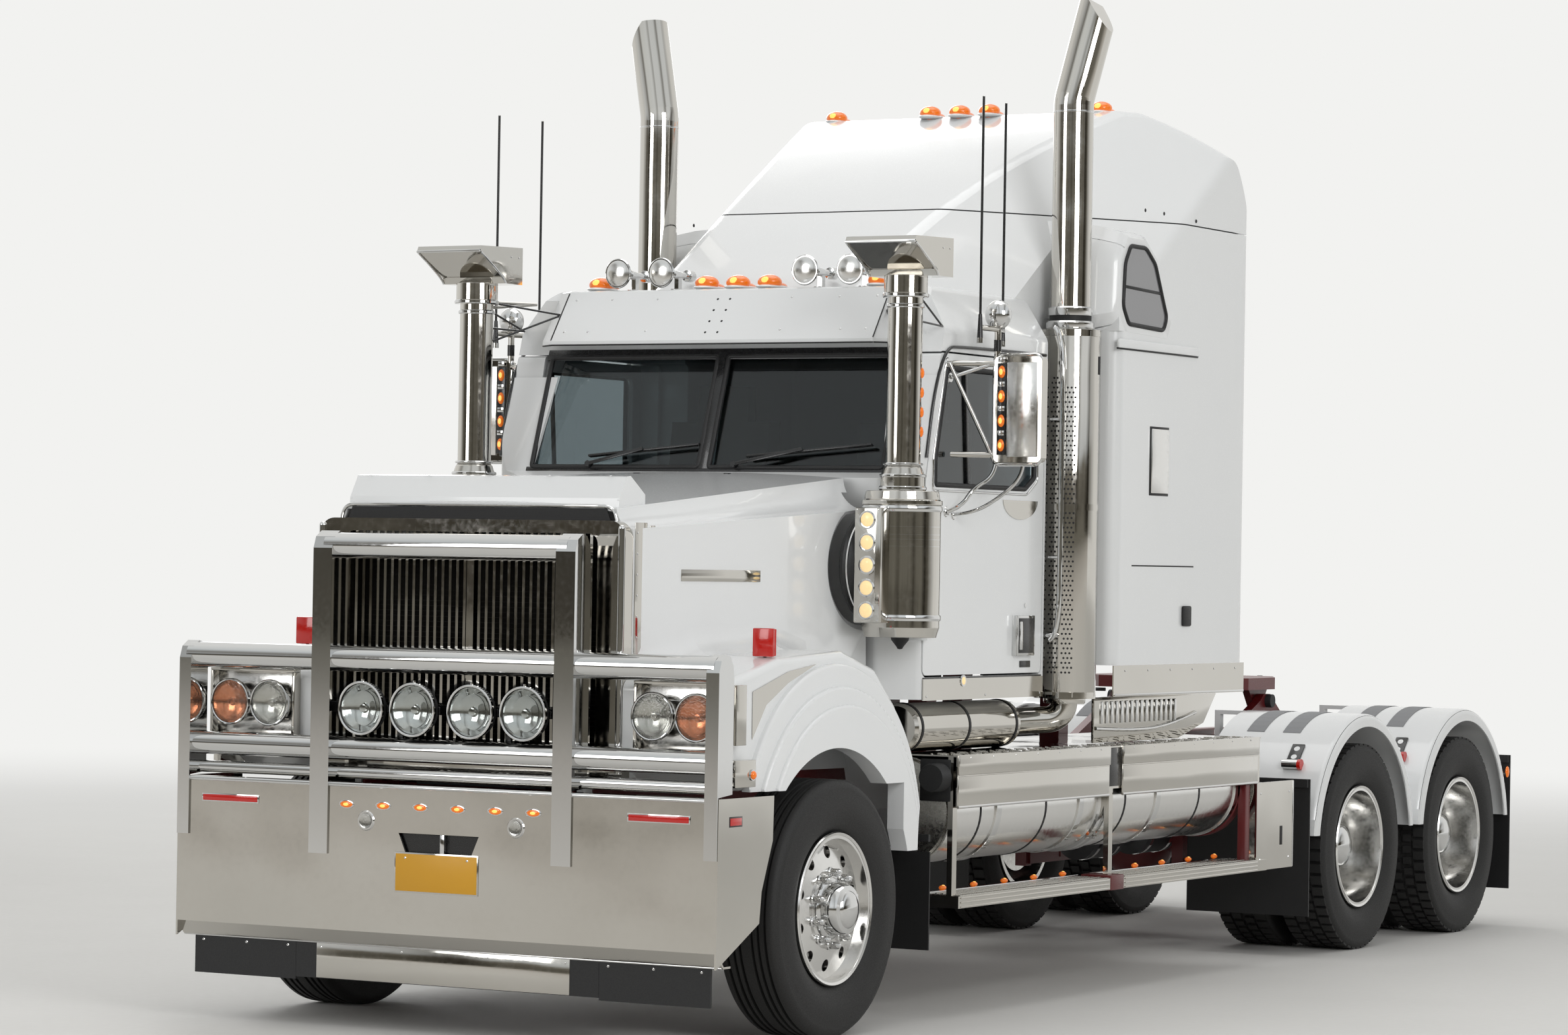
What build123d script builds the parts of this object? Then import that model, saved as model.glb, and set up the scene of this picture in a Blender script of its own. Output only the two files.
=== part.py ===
"""Bonneted 6x4 sleeper tractor unit with a bull bar.

The truck is drawn in millimetres with y = 0 at the front axle, y growing to the rear, x to the truck's
left and z up from the ground. Every piece is then moved by ORIGIN_SHIFT, so that the origin lies on the
ground under the middle of the whole truck.
"""
from build123d import *
from math import cos, pi, radians, sin, sqrt
import os

os.makedirs("parts", exist_ok=True)

# ---------------------------------------------------------------- driving dimensions (mm)
# running gear
TYRE_RADIUS = 505.0
TYRE_WIDTH = 280.0
TYRE_SIDES = 32
RIM_SEAT_RADIUS = 285.0
RIM_FLANGE_RADIUS = 298.0
RIM_WIDTH = 236.0
RIM_WALL = 9.0
BEAD_CLEARANCE = 0.4
HALF_TRACK = 1092.0
TWIN_SPACING = 343.0
DRIVE_AXLES = (5400.0, 6756.0)
KINGPIN_X = 930.0
KINGPIN_RADIUS = 22.0
RUNNING_CLEARANCE = 0.05
SPINDLE_RADIUS = 38.0

# chassis
RAIL_OUTER_X = 430.0
RAIL_TOP = 1000.0
RAIL_HEIGHT = 280.0
RAIL_FLANGE = 85.0
RAIL_WALL = 9.0
RAIL_FRONT = -640.0
RAIL_REAR = 7300.0

# cab
CAB_HALF_WIDTH = 1040.0
CAB_FRONT = 920.0
CAB_REAR = 2160.0
CAB_FLOOR = 1300.0
CAB_ROOF = 3030.0
CAB_WALL = 45.0
CAB_CORNER = 45.0
ROOF_CORNER = 60.0
DOOR_BOTTOM = 1400.0
DOOR_TOP = 2740.0
DOOR_GAP = 8.0
WINDOW_BOTTOM = 2190.0
SCREEN_BOTTOM = 2237.0
SCREEN_TOP = 2760.0
SCREEN_HALF_WIDTH = 860.0
GLASS_THICKNESS = 8.0

# sleeper
SLEEPER_HALF_WIDTH = 1220.0
SLEEPER_FRONT = 2500.0
SLEEPER_REAR = 3920.0
SLEEPER_BOTTOM = 1430.0
SLEEPER_WALL = 45.0
SLEEPER_CORNER = 60.0
NECK_HALF_WIDTH = 920.0
SEAM_HEIGHT = 3420.0
SEAM_GAP = 6.0
CAP_TOP = 3960.0

# bonnet
BONNET_FRONT = -740.0
BONNET_REAR = 880.0
BONNET_FRONT_HALF_WIDTH = 710.0
BONNET_REAR_HALF_WIDTH = 865.0
BONNET_SKIN = 12.0
ARCH_RADIUS = 630.0
FENDER_HALF_WIDTH = 1210.0
FENDER_INNER_X = 770.0

# bull bar
BAR_FACE = -980.0
BUMPER_HALF_WIDTH = 1245.0
BUMPER_TOP = 965.0
BUMPER_BOTTOM = 394.0
BUMPER_PLATE = 8.0
BONNET_PIVOT = (-750.0, 850.0)
BAR_PIVOT = (-800.0, 550.0)
PIVOT_PIN_RADIUS = 16.0
NOSE_X = 476.0

# stacks, air cleaners, tanks
STACK_X = SLEEPER_HALF_WIDTH - 163.0
STACK_Y = 2345.0
STACK_RADIUS = 88.0
MUFFLER_RADIUS = 122.0
CLEANER_X = 1045.0
CLEANER_Y = 820.0
CLEANER_RADIUS = 160.0
SNORKEL_RADIUS = 72.0
TANK_X = 940.0
TANK_Z = 840.0
TANK_RADIUS = 225.0
TANK_FRONT = 1060.0
TANK_REAR = 4080.0
SIDE_X = SLEEPER_HALF_WIDTH + 2.0
FLAP_FRONT = 815.0
SEAT_GAP = 0.5

AXLE_HEIGHT = TYRE_RADIUS
FRONT_END = BAR_FACE - 8.0
REAR_END = 7450.0
ORIGIN_SHIFT = Location((0, -(FRONT_END + REAR_END) / 2, 0))
LEFT_AND_RIGHT = (("left", 1), ("right", -1))


# ---------------------------------------------------------------- helpers
def block(x0, x1, y0, y1, z0, z1):
    """A box between two corners."""
    return Pos((x0 + x1) / 2, (y0 + y1) / 2, (z0 + z1) / 2) * Box(abs(x1 - x0), abs(y1 - y0), abs(z1 - z0))


def side_prism(points, x0, x1):
    """A prism along x: points are (y, z)."""
    plane = Plane(origin=(x0, 0, 0), x_dir=(0, 1, 0), z_dir=(1, 0, 0))
    return extrude(plane * make_face(Polyline(*points, close=True)), x1 - x0)


def front_prism(points, y0, y1):
    """A prism along y: points are (x, z)."""
    plane = Plane(origin=(0, y0, 0), x_dir=(1, 0, 0), z_dir=(0, -1, 0))
    return extrude(plane * make_face(Polyline(*points, close=True)), -(y1 - y0))


def rounded(points, radius):
    """A closed outline with its corners rounded."""
    face = make_face(Polyline(*points, close=True))
    return fillet(face.vertices(), radius)


def plan_prism(points, z0, z1):
    """A prism along z: points are (x, y)."""
    return extrude(Plane.XY.offset(z0) * make_face(Polyline(*points, close=True)), z1 - z0)


def scaled_outline(points, margin):
    """A closed outline of (y, z) points grown, or shrunk, by a margin."""
    return offset(make_face(Polyline(*points, close=True)), amount=margin, kind=Kind.INTERSECTION)


def side_cut(outline, x0, x1):
    """A prism along x from a face drawn in (y, z)."""
    plane = Plane(origin=(x0, 0, 0), x_dir=(0, 1, 0), z_dir=(1, 0, 0))
    return extrude(plane * outline, x1 - x0)


def rod(start, end, radius):
    """A round bar between two points."""
    along = Vector(*end) - Vector(*start)
    align = (Align.CENTER, Align.CENTER, Align.MIN)
    return Plane(origin=start, z_dir=along) * Cylinder(radius, along.length, align=align)


def tube(start, end, radius, bore):
    """A round tube between two points, open at both ends."""
    return rod(start, end, radius) - rod(start, end, bore)


def turned(profile, x, y, z):
    """A solid turned about the x direction through (x, y, z): profile points are (along x, radius)."""
    face = Plane.XZ * make_face(Polyline(*profile, close=True))
    return Pos(x, y, z) * revolve(face, Axis.X)


def spun(points, corner, beyond):
    """A solid turned about z from (radius, height) points, its corners beyond a radius rounded."""
    face = make_face(Polyline(*points, close=True))
    face = fillet([vertex for vertex in face.vertices() if vertex.X > beyond], corner)
    return revolve(Plane.XZ * face, Axis.Z)


def bent_bar(points, radius, bend):
    """A round bar along a bent path."""
    path = FilletPolyline(*points, radius=bend)
    start = Plane(origin=path @ 0, z_dir=path % 0)
    return sweep(start * Circle(radius), path)


def mirrored(shape):
    """The same shape on the other side of the truck."""
    return mirror(shape, about=Plane.YZ)


def both(shape):
    """The shape and its mirror image."""
    return [shape, mirrored(shape)]


def export(name, *shapes):
    """Writes one node's STEP file."""
    solids = []
    for shape in shapes:
        for item in shape if isinstance(shape, (list, tuple)) else [shape]:
            solids.extend(item.solids())
    node = Compound(children=[ORIGIN_SHIFT * solid for solid in solids])
    export_step(node, f"parts/{name}.step")
    print(f"{name}: {len(solids)} solids")


# ---------------------------------------------------------------- wheels and tyres
# distance from the tyre's middle plane as a share of its half width, radius
TYRE_STATIONS = (
    (-0.73, RIM_FLANGE_RADIUS + 2),
    (-1.00, 0.76 * TYRE_RADIUS),
    (-0.90, 0.955 * TYRE_RADIUS),
    (-0.72, TYRE_RADIUS),
    (0.72, TYRE_RADIUS),
    (0.90, 0.955 * TYRE_RADIUS),
    (1.00, 0.76 * TYRE_RADIUS),
    (0.73, RIM_FLANGE_RADIUS + 2),
)


def ring_of_flats(radius, x):
    """A many-sided outline across the x direction, with a flat at the bottom; radius is to its flats."""
    plane = Plane(origin=(x, 0, 0), x_dir=(0, 1, 0), z_dir=(1, 0, 0))
    turn = 180.0 / TYRE_SIDES
    return plane * RegularPolygon(radius, TYRE_SIDES, major_radius=False, rotation=turn * ((TYRE_SIDES // 2) % 2))


def tyre(x, y):
    half = TYRE_WIDTH / 2
    carcass = loft([ring_of_flats(radius, share * half) for share, radius in TYRE_STATIONS], ruled=True)
    bore_radius = RIM_SEAT_RADIUS + BEAD_CLEARANCE
    bore = extrude(ring_of_flats(bore_radius, -half), TYRE_WIDTH)
    return Pos(x, y, AXLE_HEIGHT) * (carcass - bore)


def rim_profile():
    """The rim's barrel, turned about the axle."""
    half = RIM_WIDTH / 2
    seat = RIM_SEAT_RADIUS
    return (
        (-half, RIM_FLANGE_RADIUS),
        (-half + 12, RIM_FLANGE_RADIUS),
        (-half + 14, seat),
        (half - 14, seat),
        (half - 12, RIM_FLANGE_RADIUS),
        (half, RIM_FLANGE_RADIUS),
        (half, seat - RIM_WALL),
        (-half, seat - RIM_WALL),
    )


HAND_HOLES = 10
HAND_HOLE_RADIUS = 24.0
HAND_HOLE_CIRCLE = 222.0


def disc_with_holes(disc, x0, x1):
    """Cuts the ring of hand holes through a wheel disc that lies between x0 and x1."""
    for k in range(HAND_HOLES):
        turn = radians(360.0 / HAND_HOLES * (k + 0.5))
        y, z = HAND_HOLE_CIRCLE * cos(turn), HAND_HOLE_CIRCLE * sin(turn)
        disc -= rod((x0, y, z), (x1, y, z), HAND_HOLE_RADIUS)
    return disc


def front_wheel():
    """A single wheel about its own centre, outer side towards +x, with its hub and brake drum."""
    inner = RIM_SEAT_RADIUS - RIM_WALL + 1
    disc = turned(((50, inner), (66, inner), (92, 160), (92, 60), (76, 60), (76, 150)), 0, 0, 0)
    disc = disc_with_holes(disc, 30, 110)
    bore = SPINDLE_RADIUS + RUNNING_CLEARANCE
    hub = turned(((-110, 188), (-110, 206), (20, 206), (40, 140), (92, 140), (100, 100), (168, 92),
                  (184, 60), (184, 0), (60, 0), (60, bore), (-30, bore), (-30, 70), (-12, 188)), 0, 0, 0)
    return turned(rim_profile(), 0, 0, 0) + disc + hub


def twin_wheel():
    """Two rims back to back about the middle between the twin tyres, with hub and brake drum."""
    inner = RIM_SEAT_RADIUS - RIM_WALL + 1
    plate = 10.0
    offset = TWIN_SPACING / 2
    shape = None
    for side in (1, -1):
        disc = turned(((0, 110), (side * plate, 110), (side * plate, 190), (side * 74, inner),
                       (side * 60, inner), (0, 195)), 0, 0, 0)
        disc = disc_with_holes(disc, -90, 90)
        rim = turned(rim_profile(), side * offset, 0, 0)
        shape = rim + disc if shape is None else shape + rim + disc
    bore = SPINDLE_RADIUS + RUNNING_CLEARANCE
    hub = turned(((-245, bore), (-245, 208), (-80, 208), (-60, 140), (60, 140), (80, 112), (190, 105),
                  (214, 70), (214, 0), (120, 0), (120, bore)), 0, 0, 0)
    return shape + hub


def make_wheels():
    front = front_wheel()
    twin = twin_wheel()
    twin_x = HALF_TRACK - TWIN_SPACING / 2
    front_tyre = tyre(HALF_TRACK, 0)
    for name, side in LEFT_AND_RIGHT:
        wheel = Pos(HALF_TRACK, 0, AXLE_HEIGHT) * front
        export(f"front_wheel_{name}", wheel if side > 0 else mirrored(wheel))
        export(f"front_tyre_{name}", front_tyre if side > 0 else mirrored(front_tyre))
        for row, y in enumerate(DRIVE_AXLES, start=1):
            wheel = Pos(twin_x, y, AXLE_HEIGHT) * twin
            tyres = [tyre(HALF_TRACK, y), tyre(HALF_TRACK - TWIN_SPACING, y)]
            export(f"rear_wheel_{row}_{name}", wheel if side > 0 else mirrored(wheel))
            export(f"rear_tyres_{row}_{name}", tyres if side > 0 else [mirrored(t) for t in tyres])


# ---------------------------------------------------------------- steering and axles
BEAM_EYE_RADIUS = 46.0
BEAM_EYE_HALF_HEIGHT = 55.0
KNUCKLE_EAR = 50.0
EAR_GAP = 4.0


def knuckle():
    """The left steering knuckle: forked ears, kingpin, spindle and steering arm."""
    z = AXLE_HEIGHT
    top = z + BEAM_EYE_HALF_HEIGHT + EAR_GAP
    low = z - BEAM_EYE_HALF_HEIGHT - EAR_GAP
    body = block(KINGPIN_X + 56, KINGPIN_X + 86, -62, 62, low - KNUCKLE_EAR, top + KNUCKLE_EAR)
    for z0, z1 in ((top, top + KNUCKLE_EAR), (low - KNUCKLE_EAR, low)):
        body += rod((KINGPIN_X, 0, z0), (KINGPIN_X, 0, z1), BEAM_EYE_RADIUS)
        body += block(KINGPIN_X, KINGPIN_X + 60, -44, 44, z0, z1)
    body += rod((KINGPIN_X, 0, low - KNUCKLE_EAR), (KINGPIN_X, 0, top + KNUCKLE_EAR), KINGPIN_RADIUS)
    body += rod((KINGPIN_X + 80, 0, z), (HALF_TRACK + 50, 0, z), SPINDLE_RADIUS)
    body += block(KINGPIN_X - 60, KINGPIN_X + 20, 30, 150, low - KNUCKLE_EAR, low - KNUCKLE_EAR + 26)
    return body


SPRING_X = 430.0


def front_axle():
    """Dropped beam with an eye at each end, carried by two leaf springs with their hangers."""
    z = AXLE_HEIGHT
    reach = KINGPIN_X
    beam = front_prism(((-reach, z - 40), (-reach, z + 40), (-620, z + 30), (-540, z - 20), (540, z - 20),
                        (620, z + 30), (reach, z + 40), (reach, z - 40), (650, z - 60), (560, z - 110),
                        (-560, z - 110), (-650, z - 60)), -42, 42)
    for side in (1, -1):
        x = side * KINGPIN_X
        beam += rod((x, 0, z - BEAM_EYE_HALF_HEIGHT), (x, 0, z + BEAM_EYE_HALF_HEIGHT), BEAM_EYE_RADIUS)
        beam -= rod((x, 0, z - 80), (x, 0, z + 80), KINGPIN_RADIUS + RUNNING_CLEARANCE)
        seat = z - 20
        spring = side_prism(((-760, z + 150), (-360, z + 60), (-90, seat + 24), (90, seat + 24), (360, z + 60),
                             (760, z + 150), (760, z + 172), (360, z + 86), (90, seat + 70), (-90, seat + 70),
                             (-360, z + 86), (-760, z + 172)), side * SPRING_X - 42, side * SPRING_X + 42)
        pad = block(side * SPRING_X - 48, side * SPRING_X + 48, -80, 80, seat - 30, seat + 26)
        beam += spring + pad
        for y in (-745, 745):
            beam += block(side * SPRING_X - 30, side * SPRING_X + 30, y - 25, y + 25, z + 150,
                          RAIL_TOP - RAIL_HEIGHT)
    return beam


def drive_axles():
    """Two drive axle housings with diff bowls, air springs, hangers and a propeller shaft."""
    z = AXLE_HEIGHT
    reach = HALF_TRACK - TWIN_SPACING / 2 + 100
    rail_bottom = RAIL_TOP - RAIL_HEIGHT
    pieces = []
    for y in DRIVE_AXLES:
        housing = rod((-560, y, z), (560, y, z), 72)
        housing += rod((-reach, y, z), (reach, y, z), SPINDLE_RADIUS)
        housing += Pos(0, y, z) * Sphere(205)
        housing += rod((0, y - 330, z + 40), (0, y, z + 40), 95)
        for side in (1, -1):
            x = side * 430.0
            housing += block(x - 40, x + 40, y - 420, y + 330, z - 140, z - 72)
            housing += block(x - 44, x + 44, y - 80, y + 80, z - 120, z + 90)
            housing += rod((x, y + 250, z - 80), (x, y + 250, rail_bottom), 105)
            housing += block(x - 30, x + 30, y - 450, y - 390, z - 150, rail_bottom)
        pieces.append(housing)
    front, rear = pieces
    front += rod((0, GEARBOX_REAR + 3, z + 185), (0, DRIVE_AXLES[0] - 320, z + 40), 50)
    return front + rear + rod((0, DRIVE_AXLES[0] + 190, z + 20), (0, DRIVE_AXLES[1] - 320, z + 40), 55)


def make_running_gear():
    left = knuckle()
    export("knuckle_left", left)
    export("knuckle_right", mirrored(left))
    export("axles", front_axle(), drive_axles())


# ---------------------------------------------------------------- chassis
CROSS_MEMBERS = (-560.0, 2450.0, 3700.0, 4700.0, 6078.0, 7240.0)
ENGINE_HALF_WIDTH = 360.0
SUMP_HALF_WIDTH = 325.0
ENGINE_FRONT = -480.0
ENGINE_REAR = 870.0
ENGINE_TOP = 1840.0
GEARBOX_REAR = 2390.0
SUMP_BOTTOM = 640.0
FIFTH_WHEEL_Y = 6040.0
FIFTH_WHEEL_TOP = 1310.0
FIFTH_WHEEL_PLATE = 60.0
FIFTH_WHEEL_PIN_Z = 1190.0
FIFTH_WHEEL_PIN_RADIUS = 20.0
KINGPIN_JAW_RADIUS = 25.9


def frame():
    """Two channel rails, cross members, the front pivot brackets and the fifth wheel's side brackets."""
    top, bottom = RAIL_TOP, RAIL_TOP - RAIL_HEIGHT
    rail = block(RAIL_OUTER_X - RAIL_FLANGE, RAIL_OUTER_X, RAIL_FRONT, RAIL_REAR, bottom, top)
    rail -= block(RAIL_OUTER_X - RAIL_FLANGE - 1, RAIL_OUTER_X - RAIL_WALL, RAIL_FRONT - 1, RAIL_REAR + 1,
                  bottom + RAIL_WALL, top - RAIL_WALL)
    shape = rail + mirrored(rail)
    inner = RAIL_OUTER_X - RAIL_WALL
    for y in CROSS_MEMBERS:
        shape += block(-inner, inner, y - 40, y + 40, bottom + 40, top - 40)
    # front nose: plates that carry the bonnet pivot above and the bull bar pivot below
    nose = side_prism(((RAIL_FRONT + 60, bottom), (RAIL_FRONT + 60, top), (BONNET_PIVOT[0] - 40, top),
                       (BONNET_PIVOT[0] - 40, bottom + 60), (BAR_PIVOT[0] - 45, BAR_PIVOT[1] + 45),
                       (BAR_PIVOT[0] - 45, BAR_PIVOT[1] - 45), (BAR_PIVOT[0] + 60, BAR_PIVOT[1] - 45)),
                      NOSE_X, NOSE_X + 12)
    nose += block(RAIL_OUTER_X - 1, NOSE_X + 1, RAIL_FRONT, RAIL_FRONT + 60, bottom, top)
    for pivot in (BONNET_PIVOT, BAR_PIVOT):
        nose += rod((NOSE_X, *pivot), (NOSE_X + 60, *pivot), PIVOT_PIN_RADIUS)
    shape += nose + mirrored(nose)
    # fifth wheel side brackets on the rails, each with its trunnion pin
    bracket = side_prism(((FIFTH_WHEEL_Y - 640, top), (FIFTH_WHEEL_Y - 560, top), (FIFTH_WHEEL_Y - 90, 1190),
                          (FIFTH_WHEEL_Y - 40, 1225), (FIFTH_WHEEL_Y + 40, 1225), (FIFTH_WHEEL_Y + 90, 1190),
                          (FIFTH_WHEEL_Y + 330, top + 30), (FIFTH_WHEEL_Y + 330, top)), 385, 430)
    bracket += rod((340, FIFTH_WHEEL_Y, FIFTH_WHEEL_PIN_Z), (440, FIFTH_WHEEL_Y, FIFTH_WHEEL_PIN_Z),
                   FIFTH_WHEEL_PIN_RADIUS)
    shape += bracket + mirrored(bracket)
    # cab and sleeper rest on short posts above the rails
    for y in (1300.0, 2000.0, 2700.0, 3700.0):
        post_top = CAB_FLOOR if y < CAB_REAR else SLEEPER_BOTTOM
        post = block(300, 400, y - 50, y + 50, top, post_top)
        shape += post + mirrored(post)
    return shape


def fifth_wheel():
    """Rocking top plate with its ramps, skirt and locked kingpin jaw."""
    top = FIFTH_WHEEL_TOP
    low = top - FIFTH_WHEEL_PLATE
    y = FIFTH_WHEEL_Y
    plate = plan_prism(((-330, y - 420), (330, y - 420), (455, y - 300), (455, y + 40), (330, y + 300),
                        (270, y + 480), (-270, y + 480), (-330, y + 300), (-455, y + 40), (-455, y - 300)),
                       low, top)
    throat = plan_prism(((-190, y + 500), (190, y + 500), (60, y + 150), (-60, y + 150)), low - 1, top + 1)
    plate -= throat
    ramp = side_prism(((y + 300, top + 1), (y + 500, top + 1), (y + 500, top - 90)), -500, 500)
    plate -= ramp
    for side in (1, -1):
        web = side_prism(((y - 120, low), (y - 40, FIFTH_WHEEL_PIN_Z - 40), (y + 40, FIFTH_WHEEL_PIN_Z - 40),
                          (y + 120, low)), side * 340, side * 378)
        web -= rod((side * 330, y, FIFTH_WHEEL_PIN_Z), (side * 390, y, FIFTH_WHEEL_PIN_Z),
                   FIFTH_WHEEL_PIN_RADIUS + RUNNING_CLEARANCE)
        plate += web
    plate -= rod((0, y, low - 5), (0, y, top + 5), KINGPIN_JAW_RADIUS)
    return plate


def make_chassis():
    export("frame", frame())
    engine = block(-ENGINE_HALF_WIDTH, ENGINE_HALF_WIDTH, ENGINE_FRONT, ENGINE_REAR, RAIL_TOP + 40, ENGINE_TOP)
    engine += block(-SUMP_HALF_WIDTH, SUMP_HALF_WIDTH, ENGINE_FRONT, ENGINE_REAR, SUMP_BOTTOM, RAIL_TOP + 41)
    engine -= block(-1000, 1000, -130, 130, SUMP_BOTTOM - 10, 700)
    for side in (1, -1):
        for y in (-300, 780):
            engine += block(side * (SUMP_HALF_WIDTH - 5), side * (RAIL_OUTER_X - 20), y - 40, y + 40,
                            RAIL_TOP + SEAT_GAP, RAIL_TOP + 60)
    gearbox = side_prism(((ENGINE_REAR - 1, 700), (ENGINE_REAR - 1, 1270), (1700, 1150), (GEARBOX_REAR, 1100),
                          (GEARBOX_REAR, 630)), -260, 260)
    radiator = block(-560, 560, -690, -645, 1010, 1900)
    radiator += block(-300, 300, -690, -600, 960 + SEAT_GAP, 1011)
    export("engine", engine + gearbox, radiator)
    export("fifth_wheel", fifth_wheel())


# ---------------------------------------------------------------- cab and sleeper volumes
def cab_volume(inset):
    """The cab's outer shape, or with an inset its inner space: three outlines crossed with each other."""
    side = offset(make_face(Polyline(
        (CAB_FRONT, CAB_FLOOR), (CAB_FRONT, SCREEN_BOTTOM - 25), (985, SCREEN_BOTTOM), (1165, 2775),
        (1225, 2985), (1300, CAB_ROOF), (CAB_REAR, CAB_ROOF), (CAB_REAR, CAB_FLOOR), close=True)),
        amount=-inset, kind=Kind.INTERSECTION)
    plane = Plane(origin=(-1500, 0, 0), x_dir=(0, 1, 0), z_dir=(1, 0, 0))
    shape = extrude(plane * side, 3000)
    half = CAB_HALF_WIDTH - inset
    chamfer = CAB_FRONT + 100 + inset * 0.3
    nose = 880 - inset * 0.3
    plan = rounded(((-half, CAB_REAR + 100), (half, CAB_REAR + 100), (half, chamfer), (nose, CAB_FRONT),
                    (-nose, CAB_FRONT), (-half, chamfer)), CAB_CORNER)
    plan = extrude(Plane.XY.offset(CAB_FLOOR) * plan, CAB_ROOF + 1 - CAB_FLOOR)
    front = rounded(((-half, CAB_FLOOR - 200), (-half, 2840), (-half + 120, CAB_ROOF), (half - 120, CAB_ROOF),
                     (half, 2840), (half, CAB_FLOOR - 200)), ROOF_CORNER)
    plane = Plane(origin=(0, CAB_FRONT - 10, 0), x_dir=(1, 0, 0), z_dir=(0, -1, 0))
    return shape & plan & extrude(plane * front, -(CAB_REAR - CAB_FRONT + 20))


# raised roof, side outline (y, z): its foot over the screen, the long rise's middle, the flat top and the tail
ROOF_FOOT = ((SLEEPER_REAR + 5, SEAM_HEIGHT - 50), (SLEEPER_REAR + 5, 2900.0), (1330.0, 2900.0), (1330.0, 2990.0),
             (1460.0, 3060.0))
ROOF_RISE = (2450.0, 3606.0)
ROOF_CREST = ((3330.0, CAP_TOP), (3450.0, CAP_TOP))
ROOF_TAIL = (3730.0, 3765.0)
# swept-back facet on each side of the raised roof: a point on it and its outward direction (left side)
FACET_POINT = (590.0, 1900.0, 3270.0)
FACET_OUT = (1.65, -1.0, 1.506)
CREASE_RADIUS = 80.0


def on_facet(point):
    """Whether a point lies on one of the roof's two facets."""
    across = (abs(point.X) - FACET_POINT[0]) * FACET_OUT[0]
    along = (point.Y - FACET_POINT[1]) * FACET_OUT[1]
    up = (point.Z - FACET_POINT[2]) * FACET_OUT[2]
    return abs(across + along + up) < 4.0


def roof_volume(inset):
    """The raised roof over cab and sleeper: side outline and plan crossed, then a swept-back facet each side."""
    rise = ThreePointArc(ROOF_FOOT[-1], ROOF_RISE, ROOF_CREST[0])
    tail = ThreePointArc(ROOF_CREST[1], ROOF_TAIL, ROOF_FOOT[0])
    outline = make_face(Polyline(*ROOF_FOOT) + rise + Line(*ROOF_CREST) + tail)
    if inset:
        outline = offset(outline, amount=-inset, kind=Kind.INTERSECTION)
    half = SLEEPER_HALF_WIDTH - inset
    rear = SLEEPER_REAR - inset
    plan = rounded(((-half, rear), (half, rear), (half, 1000), (-half, 1000)), SLEEPER_CORNER - inset * 0.8)
    shape = side_cut(outline, -half, half) & extrude(Plane.XY.offset(2800) * plan, CAP_TOP - 2700)
    for side in (1, -1):
        out = Vector(side * FACET_OUT[0], FACET_OUT[1], FACET_OUT[2]).normalized()
        origin = Vector(side * FACET_POINT[0], FACET_POINT[1], FACET_POINT[2]) - out * inset
        shape = split(shape, bisect_by=Plane(origin=origin, z_dir=out), keep=Keep.BOTTOM)
    if not inset:
        creases = [edge for edge in shape.edges() if edge.center().Z > 3000 and on_facet(edge @ 0.5)]
        shape = fillet(creases, CREASE_RADIUS)
    for side in (1, -1):
        shape -= block(side * (NECK_HALF_WIDTH - inset), side * 1400, 1000, SLEEPER_FRONT + inset, 2800, 4200)
    return shape


def sleeper_volume(inset, floor):
    """The sleeper box, round at its upright corners, with its narrower neck to the cab."""
    half, neck = SLEEPER_HALF_WIDTH - inset, NECK_HALF_WIDTH - inset
    front, rear = SLEEPER_FRONT + inset, SLEEPER_REAR - inset
    box = rounded(((-half, rear), (half, rear), (half, front), (-half, front)), SLEEPER_CORNER - inset * 0.8)
    shape = extrude(Plane.XY.offset(floor) * box, 2960 - floor)
    return shape + block(-neck, neck, CAB_REAR, front + 100, floor, 2960)


PORT_WINDOW = ((2590.0, 2935.0), (2530.0, 3010.0), (2545.0, 3200.0), (2600.0, 3280.0), (2760.0, 3280.0),
               (2860.0, 3215.0), (2990.0, 2985.0), (2960.0, 2925.0))


DOOR_OUTLINE = ((1035.0, DOOR_BOTTOM), (1035.0, 2200.0), (1150.0, DOOR_TOP), (2135.0, DOOR_TOP),
                (2135.0, DOOR_BOTTOM))
DOOR_WINDOW = ((1120.0, WINDOW_BOTTOM), (1120.0, 2300.0), (1215.0, 2680.0), (2050.0, 2680.0),
               (2050.0, 2240.0), (1960.0, WINDOW_BOTTOM))
HINGE_X = CAB_HALF_WIDTH + 19
HINGE_Y = 1026.0
HINGE_PIN_RADIUS = 7.0
HINGE_HEIGHTS = (1560.0, 2060.0)
HINGE_LENGTH = 60.0


def screen_opening(grow):
    """The two windscreen openings, each a prism along y."""
    low, high = SCREEN_BOTTOM + 12 - grow, SCREEN_TOP - 20 + grow
    inner, outer = 26 - grow, SCREEN_HALF_WIDTH + grow
    pane = front_prism(((inner, low), (outer, low), (outer - 55, high), (inner, high)), 900, 1300)
    return [pane, mirrored(pane)]


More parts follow.
